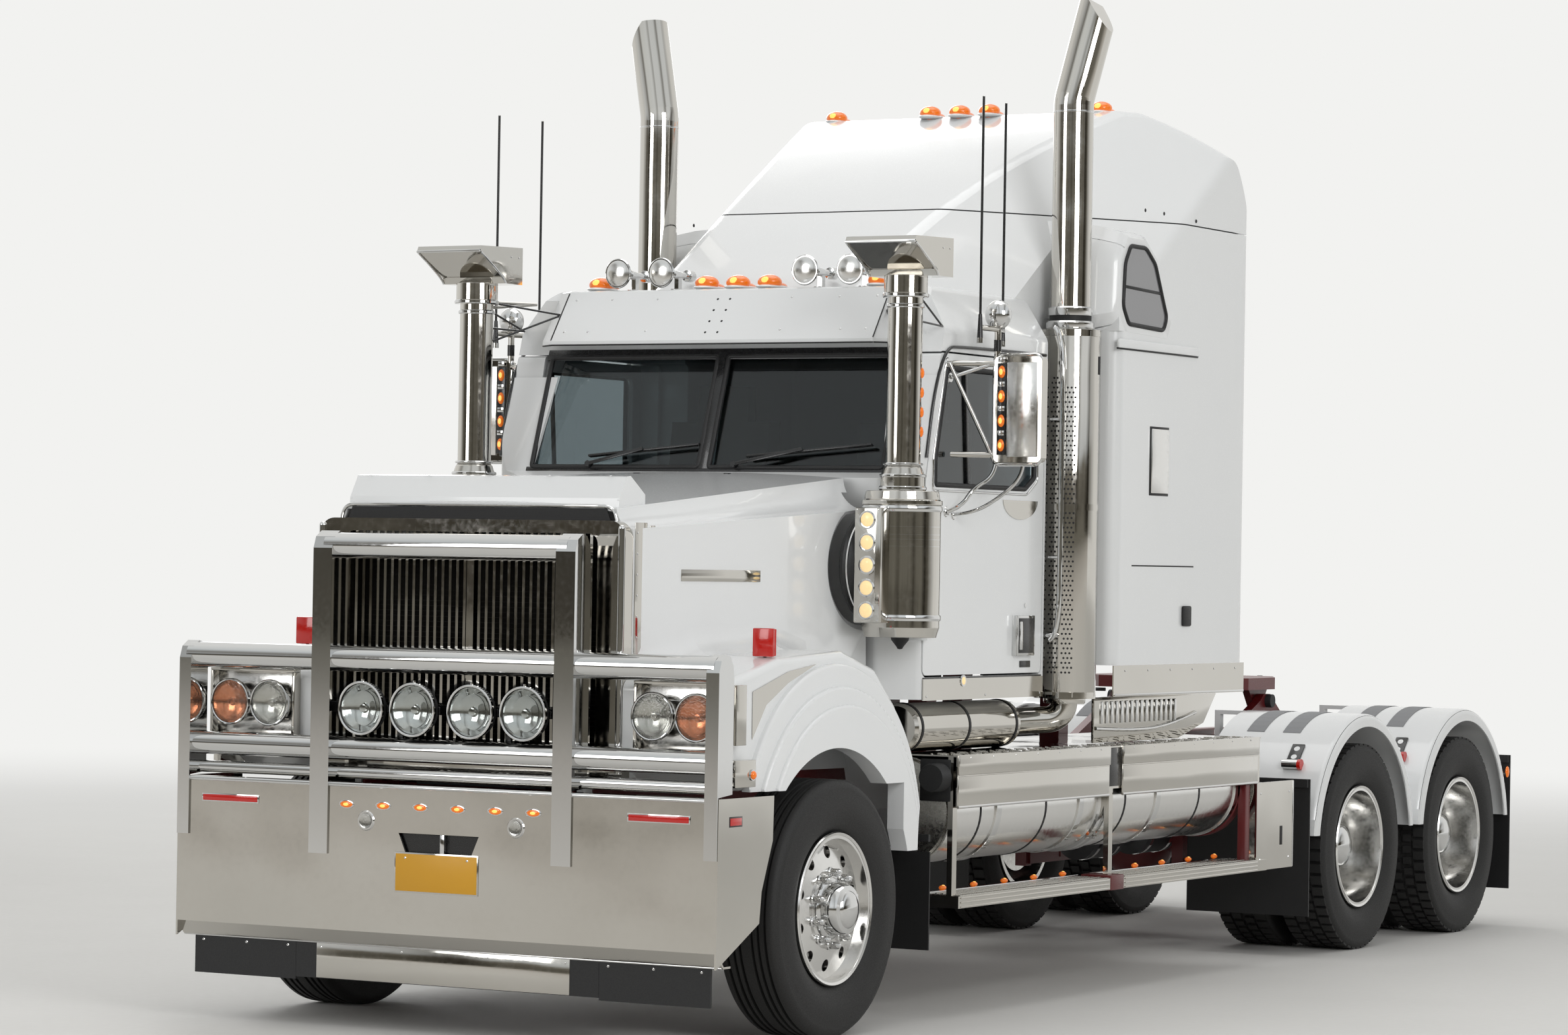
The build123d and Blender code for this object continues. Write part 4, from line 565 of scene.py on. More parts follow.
def add_wheel_trim(group, x, y, disc, cover, lip_x):
    """Hub cover, capped nuts, valve and a rolled rim lip on the outer side of the left wheel."""
    centre = Vector((x, y, AXLE_Z))
    add_turned(group["bright_chrome"], cover, centre, OUT, 40)
    for k in range(NUTS):
        angle = 2 * math.pi * (k + 0.5) / NUTS
        spot = centre + Vector((disc, NUT_CIRCLE * math.cos(angle), NUT_CIRCLE * math.sin(angle)))
        add_turned(group["bright_chrome"], NUT_CAP, spot, OUT, 12)
    lip = [(along + lip_x, radius) for along, radius in RIM_LIP]
    add_turned(group["buffed_aluminium"], lip, centre, OUT, 72)
    valve = centre + Vector((disc - 10 * MM, 0.0, VALVE_CIRCLE))
    add_rod(group["bright_chrome"], valve, valve + Vector((45 * MM, 0, -12 * MM)), 5 * MM, 10)


class TRUCK_OT_wheel_trim(PieceOperator, bpy.types.Operator):
    """Adds hub covers, capped nuts and rolled lips to the wheels"""

    bl_idname = "truck.wheel_trim"
    bl_label = "Wheel trim"

    def execute(self, context):
        for name, side in SIDES:
            steer = Group(f"steer_trim_{name}", f"front_wheel_{name}_body")
            add_wheel_trim(steer, HALF_TRACK, 0.0, STEER_DISC, STEER_COVER, 0.0)
            groups = [steer]
            for row in (1, 2):
                low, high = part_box(f"rear_tyres_{row}_left")
                drive = Group(f"drive_trim_{row}_{name}", f"rear_wheel_{row}_{name}_body")
                middle = (low.x + high.x) / 2
                add_wheel_trim(drive, middle, (low.y + high.y) / 2 - AXLE_Y, DRIVE_DISC, DRIVE_COVER,
                               (high.x - low.x - TYRE_WIDTH) / 2)
                groups.append(drive)
            for group in groups:
                if side < 0:
                    group.mirror(keep=False)
                group.done()
        return {"FINISHED"}


# ---- front: bar lamps, head lamps, grille, bumper
BAR_FACE = -0.980
LAMP_Z = 1.262
DRIVING_LAMP_X = (-0.374, -0.133, 0.133, 0.374)
# head lamps: places across, height, front, radius and depth; the pod's four borders by their corners
HEAD_LAMP_X = (0.886, 1.078)
HEAD_LAMP_Z = 1.266
HEAD_LAMP_FRONT = -0.879
HEAD_LAMP_RADIUS = 92 * MM
HEAD_LAMP_DEPTH = 68 * MM
POD_BORDERS = (((0.785, -0.846, 1.128), (1.195, -0.802, 1.142)),
               ((0.785, -0.846, 1.388), (1.195, -0.802, 1.402)),
               ((0.785, -0.846, 1.142), (0.799, -0.802, 1.388)),
               ((1.181, -0.846, 1.142), (1.195, -0.802, 1.388)))
PARKING_LAMP = Vector((1.205, -0.668, 1.050))


class TRUCK_OT_driving_lamps(PieceOperator, bpy.types.Operator):
    """Four round lamps on a rail behind the bull bar"""

    bl_idname = "truck.driving_lamps"
    bl_label = "Driving lamps"

    def execute(self, context):
        radius = context.scene.truck_sizes.lens_radius
        low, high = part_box("driving_lamps")
        rail_y = high.y - AXLE_Y
        lamps = Group("driving_lamps_dressed", "bull_bar_body")
        gloss = lamps["black_gloss_and_painted_shade"]
        # rail with its two stands
        add_slab(gloss, (low.x, rail_y - 0.012, LAMP_Z - 0.02), (high.x, rail_y, LAMP_Z + 0.02), 3 * MM)
        for x in (-0.25, 0.25):
            add_slab(gloss, (x - 0.014, rail_y - 0.015, low.z), (x + 0.014, rail_y, LAMP_Z), 3 * MM)
        for x in DRIVING_LAMP_X:
            spot = Vector((x, BAR_FACE - 4 * MM, LAMP_Z))
            add_lamp(lamps, spot, FRONT, radius, 0.085, "lens_glass")
            add_rod(gloss, spot + BACK * 0.08, (x, rail_y, LAMP_Z), 18 * MM)
            # tilting yoke round the bowl, and the bezel's screw
            for side in (1, -1):
                add_beam(gloss, spot + Vector((side * radius * 0.5, 0.085, 0)),
                         spot + Vector((side * radius * 1.01, 0.04, 0)), 26 * MM, 4 * MM, OUT * side, 1 * MM)
            screw = spot + Vector((0, 0.018, radius))
            add_rod(lamps["bright_chrome"], screw, screw + UP * 9 * MM, 6 * MM, 10)
        lamps.done(["driving_lamps"])
        return {"FINISHED"}


class TRUCK_OT_head_lamps(PieceOperator, bpy.types.Operator):
    """Two round head lamps in a polished pod on each front wing, with the parking lamp behind them"""

    bl_idname = "truck.head_lamps"
    bl_label = "Head lamps"

    def execute(self, context):
        pods = Group("head_lamps_dressed", "bonnet_body")
        steel = pods["polished_stainless"]
        add_slab(pods["buffed_aluminium"], (0.787, -0.808, 1.130), (1.193, -0.8015, 1.400), 1 * MM)
        for low, high in POD_BORDERS:
            add_slab(steel, low, high, 3 * MM)
        for x, lens in zip(HEAD_LAMP_X, ("fluted_glass", "warm_glass")):
            add_lamp(pods, (x, HEAD_LAMP_FRONT, HEAD_LAMP_Z), FRONT, HEAD_LAMP_RADIUS, HEAD_LAMP_DEPTH, lens,
                     bowl="bright_chrome")
            # adjusting screws behind the bowl
            for shift in (0.062, -0.062):
                add_rod(pods["bright_chrome"], (x + shift, -0.868, HEAD_LAMP_Z + shift),
                        (x + shift, -0.804, HEAD_LAMP_Z + shift), 6 * MM, 10)
        # low polished plate with its amber parking lamp on the wing's side
        add_slab(steel, (1.196, -0.796, 1.163), (1.211, -0.720, 1.392), 3 * MM)
        add_slab(steel, (1.170, -0.798, 1.004), (1.210, -0.640, 1.108), 4 * MM)
        add_rod(pods["bright_chrome"], PARKING_LAMP, PARKING_LAMP + OUT * 9 * MM, 22 * MM, 20)
        add_ball(pods["amber_acrylic"], PARKING_LAMP + OUT * 7 * MM, (0.014, 0.017, 0.017), 16, 10)
        pods.mirror()
        pods.done(["head_lamps"])
        return {"FINISHED"}


# grille and nose: radiator fins, the bonnet's side and what stands on it
FINS = 44
FIN_FOOT = 1.045
FIN_PITCH = 20.5 * MM
NOSE_HALF_WIDTH = 0.710
NOSE_Y = -0.740
BONNET_FLARE = 0.155 / 1.62
STRIP_Z = 1.80
CATCH_X = 0.868


def bonnet_side(y):
    """How far out the bonnet's side lies at a place along the truck."""
    return NOSE_HALF_WIDTH + BONNET_FLARE * (y - NOSE_Y)


class TRUCK_OT_grille(PieceOperator, bpy.types.Operator):
    """Radiator fins behind the slats, trims round the opening, and the bonnet's own fittings"""

    bl_idname = "truck.grille"
    bl_label = "Grille and bonnet"

    def execute(self, context):
        nose = Group("nose", "bonnet_body")
        black, chrome = nose["radiator_black_and_painted_shade"], nose["bright_chrome"]
        add_slab(black, (-0.640, -0.722, 1.035), (0.640, -0.712, 1.945))
        for k in range(FINS):
            z = FIN_FOOT + k * FIN_PITCH
            add_slab(black, (-0.600, -0.7395, z), (0.600, -0.722, z + 0.004))
        # opening under the deflector, in its chrome hoop: a black plate of painted shade
        add_plate(black, ((-0.612, -0.7425, 1.998), (0.612, -0.7425, 1.998), (0.590, -0.7425, 2.052),
                          (-0.590, -0.7425, 2.052)), 4 * MM)
        add_pipe(chrome, ((-0.640, -0.748, 1.996), (-0.636, -0.748, 2.030), (-0.612, -0.748, 2.058),
                          (-0.560, -0.748, 2.062), (0.0, -0.748, 2.064), (0.560, -0.748, 2.062),
                          (0.612, -0.748, 2.058), (0.636, -0.748, 2.030), (0.640, -0.748, 1.996)), 7 * MM)
        # corner bars and wrapped side strips of the surround
        corners = Group("nose_sides", "bonnet_body")
        bars, strips = corners["bright_chrome"], corners["polished_stainless"]
        add_rod(bars, (0.694, -0.800, 1.04), (0.694, -0.800, 1.975), 14 * MM, 20)
        add_ball(bars, (0.694, -0.800, 1.975), (0.014, 0.014, 0.014), 16, 8)
        add_beam(strips, (0.714, -0.690, 1.44), (0.714, -0.690, 2.00), 0.085, 3 * MM, OUT, 1 * MM)
        add_beam(strips, (0.716, -0.610, 1.44), (0.716, -0.610, 1.99), 0.035, 5 * MM, OUT, 1.5 * MM)
        for k in range(7):
            add_rivet(bars, (0.7165, -0.718, 1.48 + k * 0.08), OUT, 4 * MM)
        # bare trim strip on the bonnet's side
        front, rear = [(bonnet_side(y) + 1.5 * MM, y, STRIP_Z) for y in (-0.43, 0.10)]
        add_beam(strips, front, rear, 0.046, 5 * MM, OUT, 1.5 * MM)
        # red marker on its stalk on the wing's crown
        add_rod(corners["black_gloss_and_painted_shade"], (1.075, -0.350, 1.470), (1.075, -0.350, 1.500), 7 * MM, 10)
        add_slab(corners["red_acrylic"], (1.030, -0.372, 1.492), (1.120, -0.352, 1.602), 5 * MM)
        add_slab(corners["red_acrylic"], (1.036, -0.350, 1.494), (1.118, -0.334, 1.600), 5 * MM)
        # polished guard sheet where the wing meets the nose
        add_plate(strips, ((1.1535, -0.575, 1.180), (1.1535, -0.575, 1.362), (1.1535, -0.300, 1.436),
                           (1.1535, -0.080, 1.462), (1.1535, -0.300, 1.392), (1.1535, -0.470, 1.310)), 2 * MM)
        # rubber pull catch at the rear corner
        add_slab(corners["moulded_rubber"], (CATCH_X, 0.800, 1.300), (CATCH_X + 0.018, 0.838, 1.372), 6 * MM)
        add_rod(corners["moulded_rubber"], (CATCH_X - 0.004, 0.819, 1.372), (CATCH_X + 0.020, 0.819, 1.372),
                15 * MM)
        add_rivet(bars, (CATCH_X + 0.017, 0.819, 1.372), OUT, 9 * MM)
        corners.mirror()
        corners.done()
        # rolled front lip of the deflector and its fixings
        add_pipe(nose["body_enamel"], ((-0.626, -0.7105, 2.046), (0.626, -0.7105, 2.046)), 7 * MM, order=2)
        for x in (-0.56, -0.28, 0.0, 0.28, 0.56):
            add_rivet(chrome, (x, -0.668, 2.1775), (0, -0.25, 1), 6 * MM)
        # windscreen washer jets
        for x in (-0.22, 0.22):
            add_slab(nose["black_gloss_and_painted_shade"], (x - 0.012, 0.800, 2.214), (x + 0.012, 0.828, 2.226), 3 * MM)
        nose.done()
        return {"FINISHED"}


# bumper: amber lamps along its top fold, and the two round lamps under them
FOLD_LAMPS = 6
FOLD_LAMP_START = -0.431
FOLD_LAMP_PITCH = 0.1724
FOLD_LAMP_Z = 0.886
ROUND_LAMPS = ((-0.338, 0.826), (0.353, 0.826))
AIR_DAM_FACE = -0.9245


class TRUCK_OT_bumper(PieceOperator, bpy.types.Operator):
    """Lamps, reflectors, blank plate, opening, folded edges and bolts of the bumper and air dam"""

    bl_idname = "truck.bumper"
    bl_label = "Bumper"

    def execute(self, context):
        front = Group("bumper_trim", "bull_bar_body")
        chrome, steel = front["bright_chrome"], front["polished_stainless"]
        face = BAR_FACE
        # lit amber lamps in their bezels along the top fold
        for k in range(FOLD_LAMPS):
            x = FOLD_LAMP_START + k * FOLD_LAMP_PITCH
            add_ball(chrome, (x, face - 0.5 * MM, FOLD_LAMP_Z), (0.036, 3.5 * MM, 0.0175), 24, 10)
            add_ball(front["amber_acrylic"], (x, face - 2.5 * MM, FOLD_LAMP_Z), (0.029, 4.5 * MM, 0.013), 24,
                     10)
            add_ball(front["amber_glow"], (x, face - 4 * MM, FOLD_LAMP_Z), (0.017, 3.8 * MM, 0.008), 16, 8)
        for x, z in ROUND_LAMPS:
            add_turned(chrome, ((0.0, 0.0), (0.0, 0.040), (-5 * MM, 0.036), (-5 * MM, 0.0)), (x, face, z),
                       BACK, 24)
            add_ball(front["fluted_glass"], (x, face - 4 * MM, z), (0.031, 3.8 * MM, 0.031), 24, 10)
        for side in (1, -1):
            # red reflector in its frame, with a painted glow from its red acrylic
            add_slab(chrome, (side * 0.850, face - 3 * MM, 0.872), (side * 1.125, face, 0.904), 1 * MM)
            add_slab(front["red_acrylic"], (side * 0.856, face - 6 * MM, 0.876),
                     (side * 1.119, face - 2 * MM, 0.900), 1.5 * MM)
            # side marker on the bumper's return
            add_slab(front["black_gloss_and_painted_shade"], (side * 1.2405, -0.900, 0.862), (side * 1.2455, -0.800, 0.902),
                     1 * MM)
            add_slab(front["red_acrylic"], (side * 1.2415, -0.892, 0.868), (side * 1.2475, -0.808, 0.896),
                     1 * MM)
        # blank number plate in its holder
        add_slab(steel, (-0.200, face - 3 * MM, 0.556), (0.186, face, 0.712), 1 * MM)
        add_slab(front["plate_sheet"], (-0.194, face - 5 * MM, 0.562), (0.180, face - 2 * MM, 0.706),
                 1.2 * MM)
        for x in (-0.150, 0.136):
            add_rivet(chrome, (x, face - 5 * MM, 0.690), FRONT, 5 * MM)
        # shelf, lip and divider of the opening; the black panel inside it is painted shade
        add_slab(front["black_gloss_and_painted_shade"], (-0.184, -0.962, 0.706), (0.184, -0.958, 0.786))
        add_slab(steel, (-0.160, face - 4 * MM, 0.688), (0.160, face + 8 * MM, 0.704), 2 * MM)
        add_slab(chrome, (0.008, face - 2 * MM, 0.705), (0.028, face + 0.016, 0.785), 2 * MM)
        # folds: a rolled top edge, and one rolled edge low down by the lip
        add_pipe(chrome, ((-1.235, face + 4 * MM, 0.962), (1.235, face + 4 * MM, 0.962)), 9 * MM, order=2)
        add_pipe(chrome, ((-1.238, face + 0.057, 0.338), (1.238, face + 0.057, 0.338)), 5 * MM, order=2)
        # polished middle of the air dam, and the bolts along its top
        add_slab(steel, (-0.600, AIR_DAM_FACE, 0.198), (0.570, AIR_DAM_FACE + 4 * MM, 0.334), 1 * MM)
        for x in (-0.58, -0.2, 0.2, 0.55):
            add_rivet(chrome, (x, AIR_DAM_FACE, 0.318), FRONT, 5 * MM)
        for side in (1, -1):
            for x in (0.74, 0.94, 1.15):
                add_rivet(chrome, (side * x, -0.9222, 0.318), FRONT, 6 * MM)
        front.done()
        return {"FINISHED"}


# ---- cab: glass, visor, doors, markers
# the windscreen's plane: a point at its foot, the way up its slope and the way out of it
SCREEN_FOOT = Vector((0.0, 0.985, 2.237))
SCREEN_RISE = Vector((0.0, 0.180, 0.538)).normalized()
SCREEN_OUT = Vector((0.0, -0.538, 0.180)).normalized()
SCREEN_HALF_WIDTH = 0.885
SCREEN_TOP = 0.520
PANE_INNER, PANE_OUTER, PANE_FOOT = 0.026, 0.860, 0.018
# wipers, across the screen: spindle, joint of the arm, and the blade's tip
WIPERS = ((-0.560, -0.300, -0.030), (0.160, 0.480, 0.800))


def on_screen(x, height, proud=0.0):
    """A point on the windscreen's plane at a slope height above its foot."""
    return SCREEN_FOOT + Vector((x, 0, 0)) + SCREEN_RISE * height + SCREEN_OUT * proud


def add_seal(bm, points, radius):
    """A rubber bead round a closed outline with round corners."""
    add_pipe(bm, points, radius, closed=True, steps=6)


def outline_with_corners(points, reach):
    """The closed outline's points, each corner given by two points a reach away from it."""
    made = []
    count = len(points)
    for k, corner in enumerate(points):
        corner = Vector(corner)
        for other in (Vector(points[k - 1]), Vector(points[(k + 1) % count])):
            made.append(corner + (other - corner).normalized() * reach)
        made.insert(-1, corner)
    return made


class TRUCK_OT_windscreen(PieceOperator, bpy.types.Operator):
    """Seals, centre bar, top shade band and wipers of the two-pane windscreen"""

    bl_idname = "truck.windscreen"
    bl_label = "Windscreen"

    def execute(self, context):
        screen = Group("windscreen", "chassis")
        rubber, gloss = screen["moulded_rubber"], screen["black_gloss_and_painted_shade"]
        top, wide = SCREEN_TOP, SCREEN_HALF_WIDTH
        for side in (1, -1):
            corners = [on_screen(side * x, height) for x, height in (
                (PANE_INNER, PANE_FOOT), (PANE_OUTER, PANE_FOOT), (PANE_OUTER, top), (PANE_INNER, top))]
            add_seal(rubber, outline_with_corners(corners, 0.03), 11 * MM)
        add_beam(gloss, on_screen(0.0, 0.010, 1 * MM), on_screen(0.0, top + 0.02, 1 * MM), 0.050, 9 * MM,
                 SCREEN_OUT, 3 * MM)
        for height, width in ((top + 0.012, 0.050), (0.004, 0.026)):
            add_beam(gloss, on_screen(-wide, height), on_screen(wide, height), width, 8 * MM, SCREEN_OUT,
                     3 * MM)
        # wipers parked low: arm from its spindle, blade with its spine
        for pivot, joint, tip in WIPERS:
            low, high = 0.035, 0.105
            heel = joint - 0.27
            add_rod(gloss, on_screen(pivot, low - 0.012, 0.0), on_screen(pivot, low - 0.012, 0.034), 13 * MM)
            add_beam(gloss, on_screen(pivot, low - 0.012, 0.030), on_screen(joint, high - 0.012, 0.026),
                     16 * MM, 7 * MM, SCREEN_OUT, 2 * MM)
            add_beam(gloss, on_screen(heel, high - 0.042, 0.016), on_screen(tip, high + 0.012, 0.016),
                     10 * MM, 14 * MM, SCREEN_OUT, 2 * MM)
            add_beam(rubber, on_screen(heel, high - 0.042, 0.004), on_screen(tip, high + 0.012, 0.004),
                     4 * MM, 14 * MM, SCREEN_OUT)
        screen.done()
        return {"FINISHED"}


# the sun visor's plane, its lower lip, and the returns that sweep back at both ends
VISOR_SLOPE = Vector((0.0, 0.156, 0.221)).normalized()
VISOR_OUT = Vector((0.0, -0.221, 0.156)).normalized()
VISOR_LIP_Y, VISOR_LIP_Z = 1.015, 2.796
VISOR_FLAT_HALF = 0.790
VISOR_SWEEP = 0.070 / 0.085
# rivets of one half: place across and slope height
VISOR_RIVETS = ((0.030, 0.040), (0.030, 0.100), (0.030, 0.160), (0.030, 0.220), (0.330, 0.050),
                (0.330, 0.225), (0.620, 0.050), (0.560, 0.225), (0.740, 0.225), (0.740, 0.050))


def on_visor(x, height, proud=0.0):
    """A point on the sun visor's face at a slope height above its lower lip."""
    sweep = max(0.0, abs(x) - VISOR_FLAT_HALF) * VISOR_SWEEP
    return Vector((x, VISOR_LIP_Y + sweep, VISOR_LIP_Z)) + VISOR_SLOPE * height + VISOR_OUT * proud


class TRUCK_OT_visor(PieceOperator, bpy.types.Operator):
    """Lip, seams and rivets of the sun visor"""

    bl_idname = "truck.visor"
    bl_label = "Sun visor"

    def execute(self, context):
        radius = context.scene.truck_sizes.rivet_radius
        visor = Group("visor_trim", "chassis")
        rubber, chrome = visor["moulded_rubber"], visor["bright_chrome"]
        flat = VISOR_FLAT_HALF
        add_beam(rubber, (-flat, 1.0205, 2.779), (flat, 1.0205, 2.779), 11 * MM, 6 * MM, UP, 2 * MM)
        for side in (1, -1):
            add_beam(rubber, (side * flat, 1.0205, 2.779), (side * 0.872, 1.088, 2.779), 11 * MM, 6 * MM, UP,
                     2 * MM)
            add_beam(rubber, on_visor(side * flat, 0.004, 1 * MM), on_visor(side * flat, 0.262, 1 * MM),
                     5 * MM, 2 * MM, VISOR_OUT)
        for side in (1, -1):
            for x, height in VISOR_RIVETS:
                add_rivet(rubber if x < 0.1 else chrome, on_visor(side * x, height), VISOR_OUT, radius * 0.8)
        visor.done()
        return {"FINISHED"}


# outlines on a door's side, as (y, z): the window's opening and the bright bead round it
DOOR_X = 1.041
WINDOW = ((1.120, 2.190), (1.120, 2.300), (1.215, 2.680), (2.050, 2.680), (2.050, 2.240), (1.960, 2.190))
WINDOW_BEAD = ((1.095, 2.166), (1.095, 2.305), (1.196, 2.706), (2.075, 2.706), (2.075, 2.228), (1.972, 2.166))


class TRUCK_OT_doors(PieceOperator, bpy.types.Operator):
    """Window seals, handles, locks and the polished plates on both doors"""

    bl_idname = "truck.doors"
    bl_label = "Doors"

    def execute(self, context):
        for name, side in SIDES:
            door = Group(f"door_trim_{name}", f"door_{name}_body")
            rubber, chrome, gloss = door["moulded_rubber"], door["bright_chrome"], door["black_gloss_and_painted_shade"]
            opening = [(DOOR_X - 4 * MM, y, z) for y, z in WINDOW]
            add_seal(rubber, outline_with_corners(opening, 0.025), 11 * MM)
            bead = [(DOOR_X, y, z) for y, z in WINDOW_BEAD]
            add_seal(chrome, outline_with_corners(bead, 0.035), 5 * MM)
            # divider of the front quarter light and the sill's weather strip
            add_beam(gloss, (1.026, 1.440, 2.196), (1.026, 1.400, 2.676), 22 * MM, 14 * MM, OUT, 3 * MM)
            add_beam(rubber, (1.034, 1.125, 2.186), (1.034, 1.960, 2.186), 20 * MM, 10 * MM, OUT, 3 * MM)
            # handle: chrome bezel, a dark cup of painted shade in its recess, and pull
            add_slab(chrome, (1.0395, 1.856, 1.474), (1.066, 2.026, 1.648), 4 * MM)
            add_slab(gloss, (1.0630, 1.868, 1.486), (1.068, 2.014, 1.636), 2 * MM)
            add_slab(chrome, (1.0650, 1.872, 1.500), (1.073, 1.900, 1.622), 3 * MM)
            # black strip under the bezel, shifted back: a painted shadow of the handle
            add_slab(gloss, (1.0395, 1.930, 1.424), (1.044, 2.030, 1.452), 2 * MM)
            # half-round polished plate under the mirror
            half_round = [(1.0405, 1.912 + 0.165 * math.cos(a), 2.140 + 0.082 * math.sin(a))
                          for a in [math.pi * (1 + k / 20) for k in range(21)]]
            add_plate(door["polished_stainless"], half_round, 3 * MM)
            # door lock over the handle
            add_rod(chrome, (1.039, 1.978, 1.690), (1.044, 1.978, 1.690), 10 * MM, 16)
            if side < 0:
                door.mirror(keep=False)
            door.done()
        return {"FINISHED"}


# the grab rail behind a door, from its upper foot to its lower one
GRAB_RAIL = ((1.060, 2.182, 2.900), (1.100, 2.182, 2.880), (1.104, 2.182, 2.500), (1.104, 2.182, 1.900),
             (1.100, 2.182, 1.560), (1.060, 2.182, 1.540))
COWL_SLOTS = 14


class TRUCK_OT_cab_trim(PieceOperator, bpy.types.Operator):
    """Grab rails, drip rails, the skirts' lamps and rivets, and the cowl's grating"""

    bl_idname = "truck.cab_trim"
    bl_label = "Cab trim"

    def execute(self, context):
        cab = Group("cab_trim_set", "chassis")
        chrome, gloss = cab["bright_chrome"], cab["black_gloss_and_painted_shade"]
        # grab rail behind the door, with two stays
        add_pipe(chrome, GRAB_RAIL, 11 * MM)
        for z in (2.500, 1.900):
            add_rod(chrome, (1.040, 2.182, z), (1.104, 2.182, z), 7 * MM)
        # drip rail over the door
        add_pipe(gloss, ((1.043, 1.030, 2.300), (1.045, 1.110, 2.760), (1.045, 1.400, 2.775),
                         (1.045, 2.130, 2.775)), 7 * MM)
        # skirt's courtesy lamp and its fixings
        add_rod(chrome, (1.044, 1.390, 1.374), (1.050, 1.390, 1.374), 24 * MM, 24)
        add_ball(cab["warm_glow"], (1.0495, 1.390, 1.374), (4 * MM, 0.017, 0.017), 20, 10)
        for y in (1.06, 1.60, 2.12):
            add_rivet(chrome, (1.0465, y, 1.312), OUT, 5 * MM)
        add_beam(gloss, (1.0405, 1.035, 1.388), (1.0405, 2.140, 1.388), 7 * MM, 3 * MM, OUT)
        cab.mirror()
        # cowl: air slots at the foot of the screen, drawn as thin black slabs of painted shade
        for k in range(COWL_SLOTS):
            x = -0.60 + k * 0.0923
            add_slab(gloss, (x - 0.028, 0.9165, 2.196), (x + 0.028, 0.9215, 2.204), 1 * MM)
        cab.done()
        return {"FINISHED"}


HORN_X = (-0.572, -0.355, 0.355, 0.572)
HORN_MOUTH_Y, HORN_Z = 1.205, 3.098
CAB_MARKER_X = (-0.690, -0.155, 0.0, 0.155, 0.690)
CAB_MARKER_Y, CAB_ROOF_Z = 1.262, 3.030
# places of the marker lamps on the raised roof, as (x, y)
CAP_MARKERS = ((-0.696, 3.385), (0.696, 3.385), (-0.155, 3.310), (0.0, 3.310), (0.155, 3.310))
CAP_MARKER_Z = 3.9585
TAIL_LAMP_X = (0.240, 0.360)
TAIL_BAR_BACK, TAIL_LAMP_Z = 7.330, 0.840


class TRUCK_OT_markers(PieceOperator, bpy.types.Operator):
    """Amber marker lamps on both roofs, the tail lamps, and the rims, discs and feet of the horns"""

    bl_idname = "truck.markers"
    bl_label = "Marker lamps"

    def execute(self, context):
        lamps = Group("marker_lamps_dressed", "chassis")
        for x in CAB_MARKER_X:
            add_marker(lamps, (x, CAB_MARKER_Y, CAB_ROOF_Z))
        for x, y in CAP_MARKERS:
            add_marker(lamps, (x, y, CAP_MARKER_Z), 0.95)
        # tail bar with round lamps in rubber rings
        add_slab(lamps["body_enamel"], (-0.425, 7.3015, 0.780), (0.425, TAIL_BAR_BACK, 0.900), 6 * MM)
        for side in (1, -1):
            for x, lens in zip(TAIL_LAMP_X, ("red_acrylic", "amber_acrylic")):
                spot = Vector((side * x, TAIL_BAR_BACK, TAIL_LAMP_Z))
                add_turned(lamps["moulded_rubber"], ((0.0, 0.0), (0.0, 0.055), (0.010, 0.053), (0.016, 0.046),
                                                     (0.014, 0.0)), spot, BACK, 32)
                add_turned(lamps[lens], ((0.012, 0.0), (0.012, 0.045), (0.020, 0.042), (0.028, 0.022),
                                         (0.030, 0.0)), spot, BACK, 32)
        lamps.done(["marker_lamps"])
        horns = Group("horn_trim", "chassis")
        chrome = horns["bright_chrome"]
        for x in HORN_X:
            centre = Vector((x, HORN_MOUTH_Y, HORN_Z))
            add_turned(chrome, ((-1 * MM, 0.062), (4 * MM, 0.0655), (9 * MM, 0.062), (4 * MM, 0.058),
                                (-1 * MM, 0.062)), centre, BACK, 32)
            disc = ((1 * MM, 0.058), (-4 * MM, 0.050), (-8 * MM, 0.036), (-11 * MM, 0.018), (-12 * MM, 0.0),
                    (2 * MM, 0.0))
            add_turned(horns["buffed_aluminium"], disc, centre, BACK, 32)
            add_slab(chrome, (x - 0.016, 1.316, CAB_ROOF_Z), (x + 0.016, 1.388, 3.036), 2 * MM)
            add_rod(chrome, (x, 1.352, 3.036), (x, 1.352, 3.086), 6 * MM, 12)
        horns.done()
        return {"FINISHED"}


# ---- air cleaners, stacks, mirrors
# the near air cleaner's axis, and its intake duct's
CLEANER = Vector((1.045, 0.820, 0.0))
DUCT = Vector((0.0, 0.796, 1.846))
# collars up the snorkel: low, high and radius
COLLARS = ((2.160, 2.176, 0.096), (2.212, 2.226, 0.094), (2.262, 2.272, 0.080), (2.905, 2.922, 0.0765),
           (2.948, 2.966, 0.094))
LAMP_PLATE_Y = 0.597
CLEANER_LAMPS = 5
CLEANER_LAMP_FOOT = 1.668
CLEANER_LAMP_PITCH = 92 * MM
PIPE_LAMPS = 4


